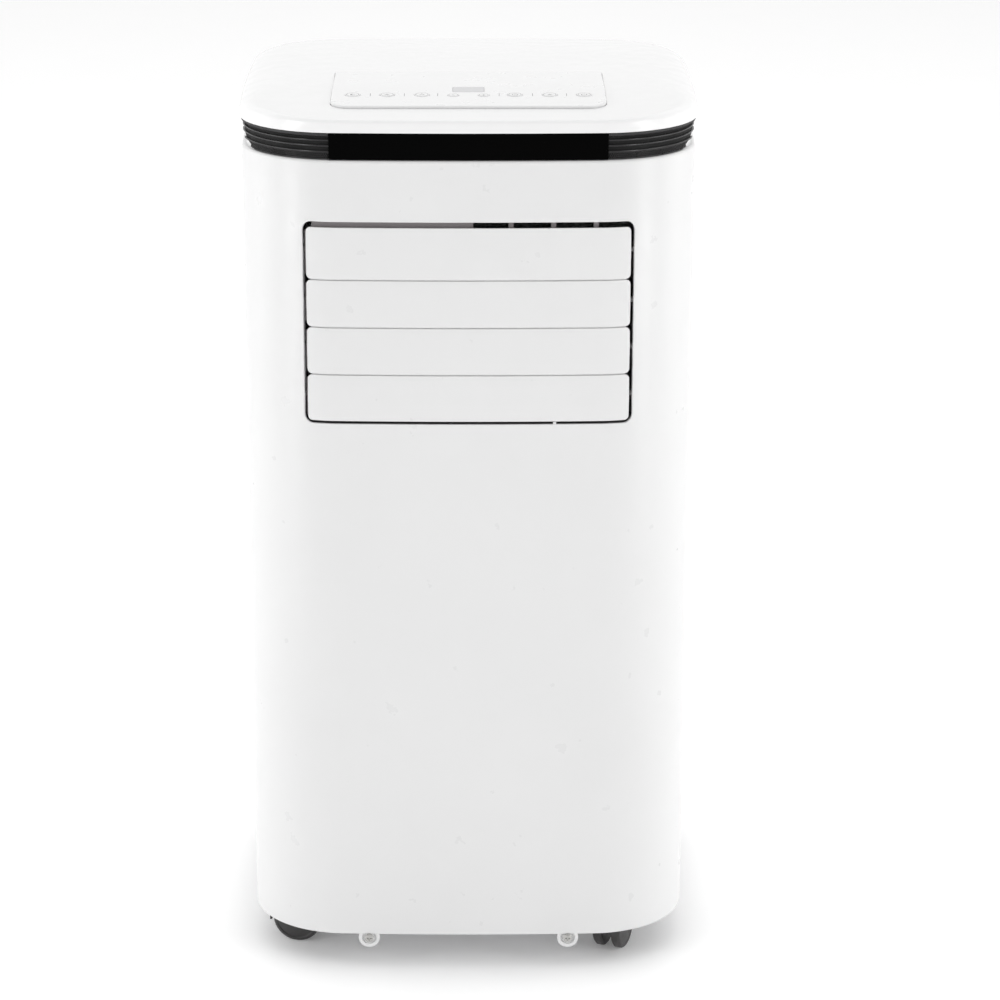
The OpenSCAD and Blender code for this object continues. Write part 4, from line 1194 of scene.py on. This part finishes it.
def make_rear_fittings():
    """The exhaust collar with its latching lugs, the lead's gland and the drain plug."""
    collar = Piece()
    profile = [(75, 0), (81.6, 0), (81.6, 2.9), (78.6, 3.3), (78.6, 12), (77.9, 12.6), (77.9, 15),
               (78.6, 15.6), (78.6, 22.8), (75, 22.8)]
    lathe(collar, turned(profile, 0.5), (0, 146.2, COLLAR_Z), (0, 1, 0), 128)
    for angle in range(0, 360, 45):
        a = math.radians(angle + 22.5)
        collar.place = Matrix.Translation((0, 165, COLLAR_Z)) @ Matrix.Rotation(-a, 4, "Y")
        plate(collar, "y", -3, 3, rectangle(77.8, 79.3, -5, 5, 0.6, 3), lip=0.5)
    collar.place = Matrix.Identity(4)
    collar.make("outlet_collar", "case", ["shell_plastic"], ["exhaust_collar"])

    gland = Piece()
    profile = [(4, 0), (11, 0), (11, 8), (8, 8.3), (8, 12), (11, 12.3), (11, 13.2), (8.5, 13.8),
               (4.6, 13.8), (4, 13)]
    lathe(gland, turned(profile, 0.25), (GLAND_X, 158, GLAND_Z), (0, 1, 0), 64)
    gland.make("cord_gland", "case", ["dark_rubber"], ["power_gland"])

    plug = Piece()
    profile = [(0, 0), (5.2, 0), (5.9, 1.5), (5.9, 15.4), (9, 15.4), (9, 18.2), (8.2, 19.4),
               (3.2, 19.4), (2.6, 18.6), (0, 18.6)]
    lathe(plug, turned(profile, 0.3), (DRAIN_X, 152, DRAIN_Z), (0, 1, 0), 64)
    pull_low = (DRAIN_X - 6.5, 170.4, DRAIN_Z - 0.9)
    block(plug, pull_low, (DRAIN_X + 6.5, 171.5, DRAIN_Z + 0.9), 0.5, "y")
    plug.make("drain_cap", "drain_plug", ["dark_rubber"], ["drain_plug"])


def cross_head(piece, at, facing, r, height, shank):
    """A pan-head screw with a cross recess, its shank running inwards."""
    at = Vector(at)
    y_out = at.y + facing * height
    arm, slot = r * 0.55, r * 0.14
    corners = [(slot, -arm), (slot, -slot), (arm, -slot), (arm, slot), (slot, slot), (slot, arm),
               (-slot, arm), (-slot, slot), (-arm, slot), (-arm, -slot), (-slot, -slot), (-slot, -arm)]
    cross = rounded([(at.x + a, at.z + b) for a, b in corners], 0.08, 2)
    top = circle(at.x, at.z, r, 40)

    def dome(u, v, depth):
        away = math.hypot(u - at.x, v - at.z) / r
        return Vector((u, y_out - facing * (0.35 * height * away * away + depth), v))

    sheet(piece, dome, top, [cross], height * 0.6, min(0.3, height * 0.25), 0.06,
          extra=[(at.x + r * 0.8 * math.cos(a), at.z + r * 0.8 * math.sin(a)) for a in spread(0, 6, 0.4)])
    rim, neck = r * 0.97, height * 0.4
    profile = [(0, -shank), (r * 0.45, -shank), (r * 0.5, -1), (rim, 0), (rim, neck), (0, neck)]
    lathe(piece, turned(profile, 0.1), at, (0, facing, 0), 32)


def make_screws():
    screws = Piece()
    for side in (-1, 1):
        cross_head(screws, (side * TAB_X, -169.4, TAB_Z), -1, 3.6, 1.9, 15)
    corner_y = -CORNER_C.y
    for x, z in ((-115, 70), (115, 70), (-115, 421), (115, 421), (-115, 647), (115, 647)):
        y = corner_y + math.sqrt((CORNER_R - INSET) ** 2 - (abs(x) - CORNER_C.x) ** 2)
        cross_head(screws, (x, y + 0.9, z), 1, 3.4, 1.7, 6)
    screws.make("cabinet_screws", "case", ["screw_steel"], ["case_screws"])


make_grips()
for filter_name in FILTER_Z:
    make_filter(filter_name)
make_rear_fittings()
make_screws()

# ---------------------------------------------------------------- casters


def make_caster(number, x, y, angle):
    """Hood, web, collar and pin in one piece, and a pair of wheels that turns in it."""
    place = Matrix.Translation((x, y, 0)) @ Matrix.Rotation(math.radians(angle), 4, "Z")
    axle = Vector((TRAIL, 0, WHEEL_R))
    fork = Piece(place)
    hood_inner = WHEEL_R + 0.9
    low_angle = -math.asin(2 / HOOD_R)

    def over(share, p):
        a = low_angle + share * (math.pi - 2 * low_angle)
        r = (hood_inner + HOOD_R) / 2 + p.y
        return axle + Vector((r * math.cos(a), p.x, r * math.sin(a)))

    half_t = (HOOD_R - hood_inner) / 2
    sweep(fork, rectangle(-13, 13, -half_t, half_t, 0.7, 4), over, spread(0, 1, 0.03))
    web = []
    for a in spread(low_angle, math.pi - low_angle, 0.1):
        web.append((TRAIL + (HOOD_R - 0.6) * math.cos(a), WHEEL_R + (HOOD_R - 0.6) * math.sin(a)))
    plate(fork, "y", -2.8, 2.8, rounded(web, 0.5, 2), lip=0.3)
    hub = [(0, 0), (8, 0), (8, 5.6), (0, 5.6)]
    lathe(fork, turned(hub), axle - Vector((0, 2.8, 0)), (0, 1, 0), 40)
    stem = [(0, 30), (8.5, 30), (8.5, 46.5), (7.5, 48), (5, 48), (5, 64), (0, 64)]
    lathe(fork, turned(stem, 0.5), (0, 0, 0), UP, 48)
    fork.make(f"caster_fork_{number}", f"caster_{number}", ["caster_plastic"], [f"caster_{number}"])

    wheels = Piece(place)
    profile = [(17, 0), (18.6, 0.5), (WHEEL_R, 1.6), (WHEEL_R, 6.4), (18.8, 7.9), (17.2, 8.4),
               (16.4, 7.7), (11, 8.6), (5.2, 9), (4.6, 8.2), (0, 8.2), (0, 0)]
    for side in (-1, 1):
        lathe(wheels, turned(profile, 0.45), axle + Vector((0, side * 3.6, 0)), (0, side, 0), 64)
    rod(wheels, axle - Vector((0, 4, 0)), axle + Vector((0, 4, 0)), 3)
    name = f"caster_wheels_{number}"
    wheels.make(f"wheel_pair_{number}", name, ["caster_plastic"], [name])


for caster_number, (pin_x, pin_y, trail_angle) in enumerate(CASTERS, 1):
    make_caster(caster_number, pin_x, pin_y, trail_angle)

# ---------------------------------------------------------------- CAD nodes that stay


def finish_cad_nodes():
    """Gives every CAD node that still shows the material of its slot."""
    for part in frame["record"]["subparts"]:
        node = frame["nodes"][part["node"]]
        node.data.materials.clear()
        node.data.materials.append(FINISH[part["material_slot"]])


finish_cad_nodes()
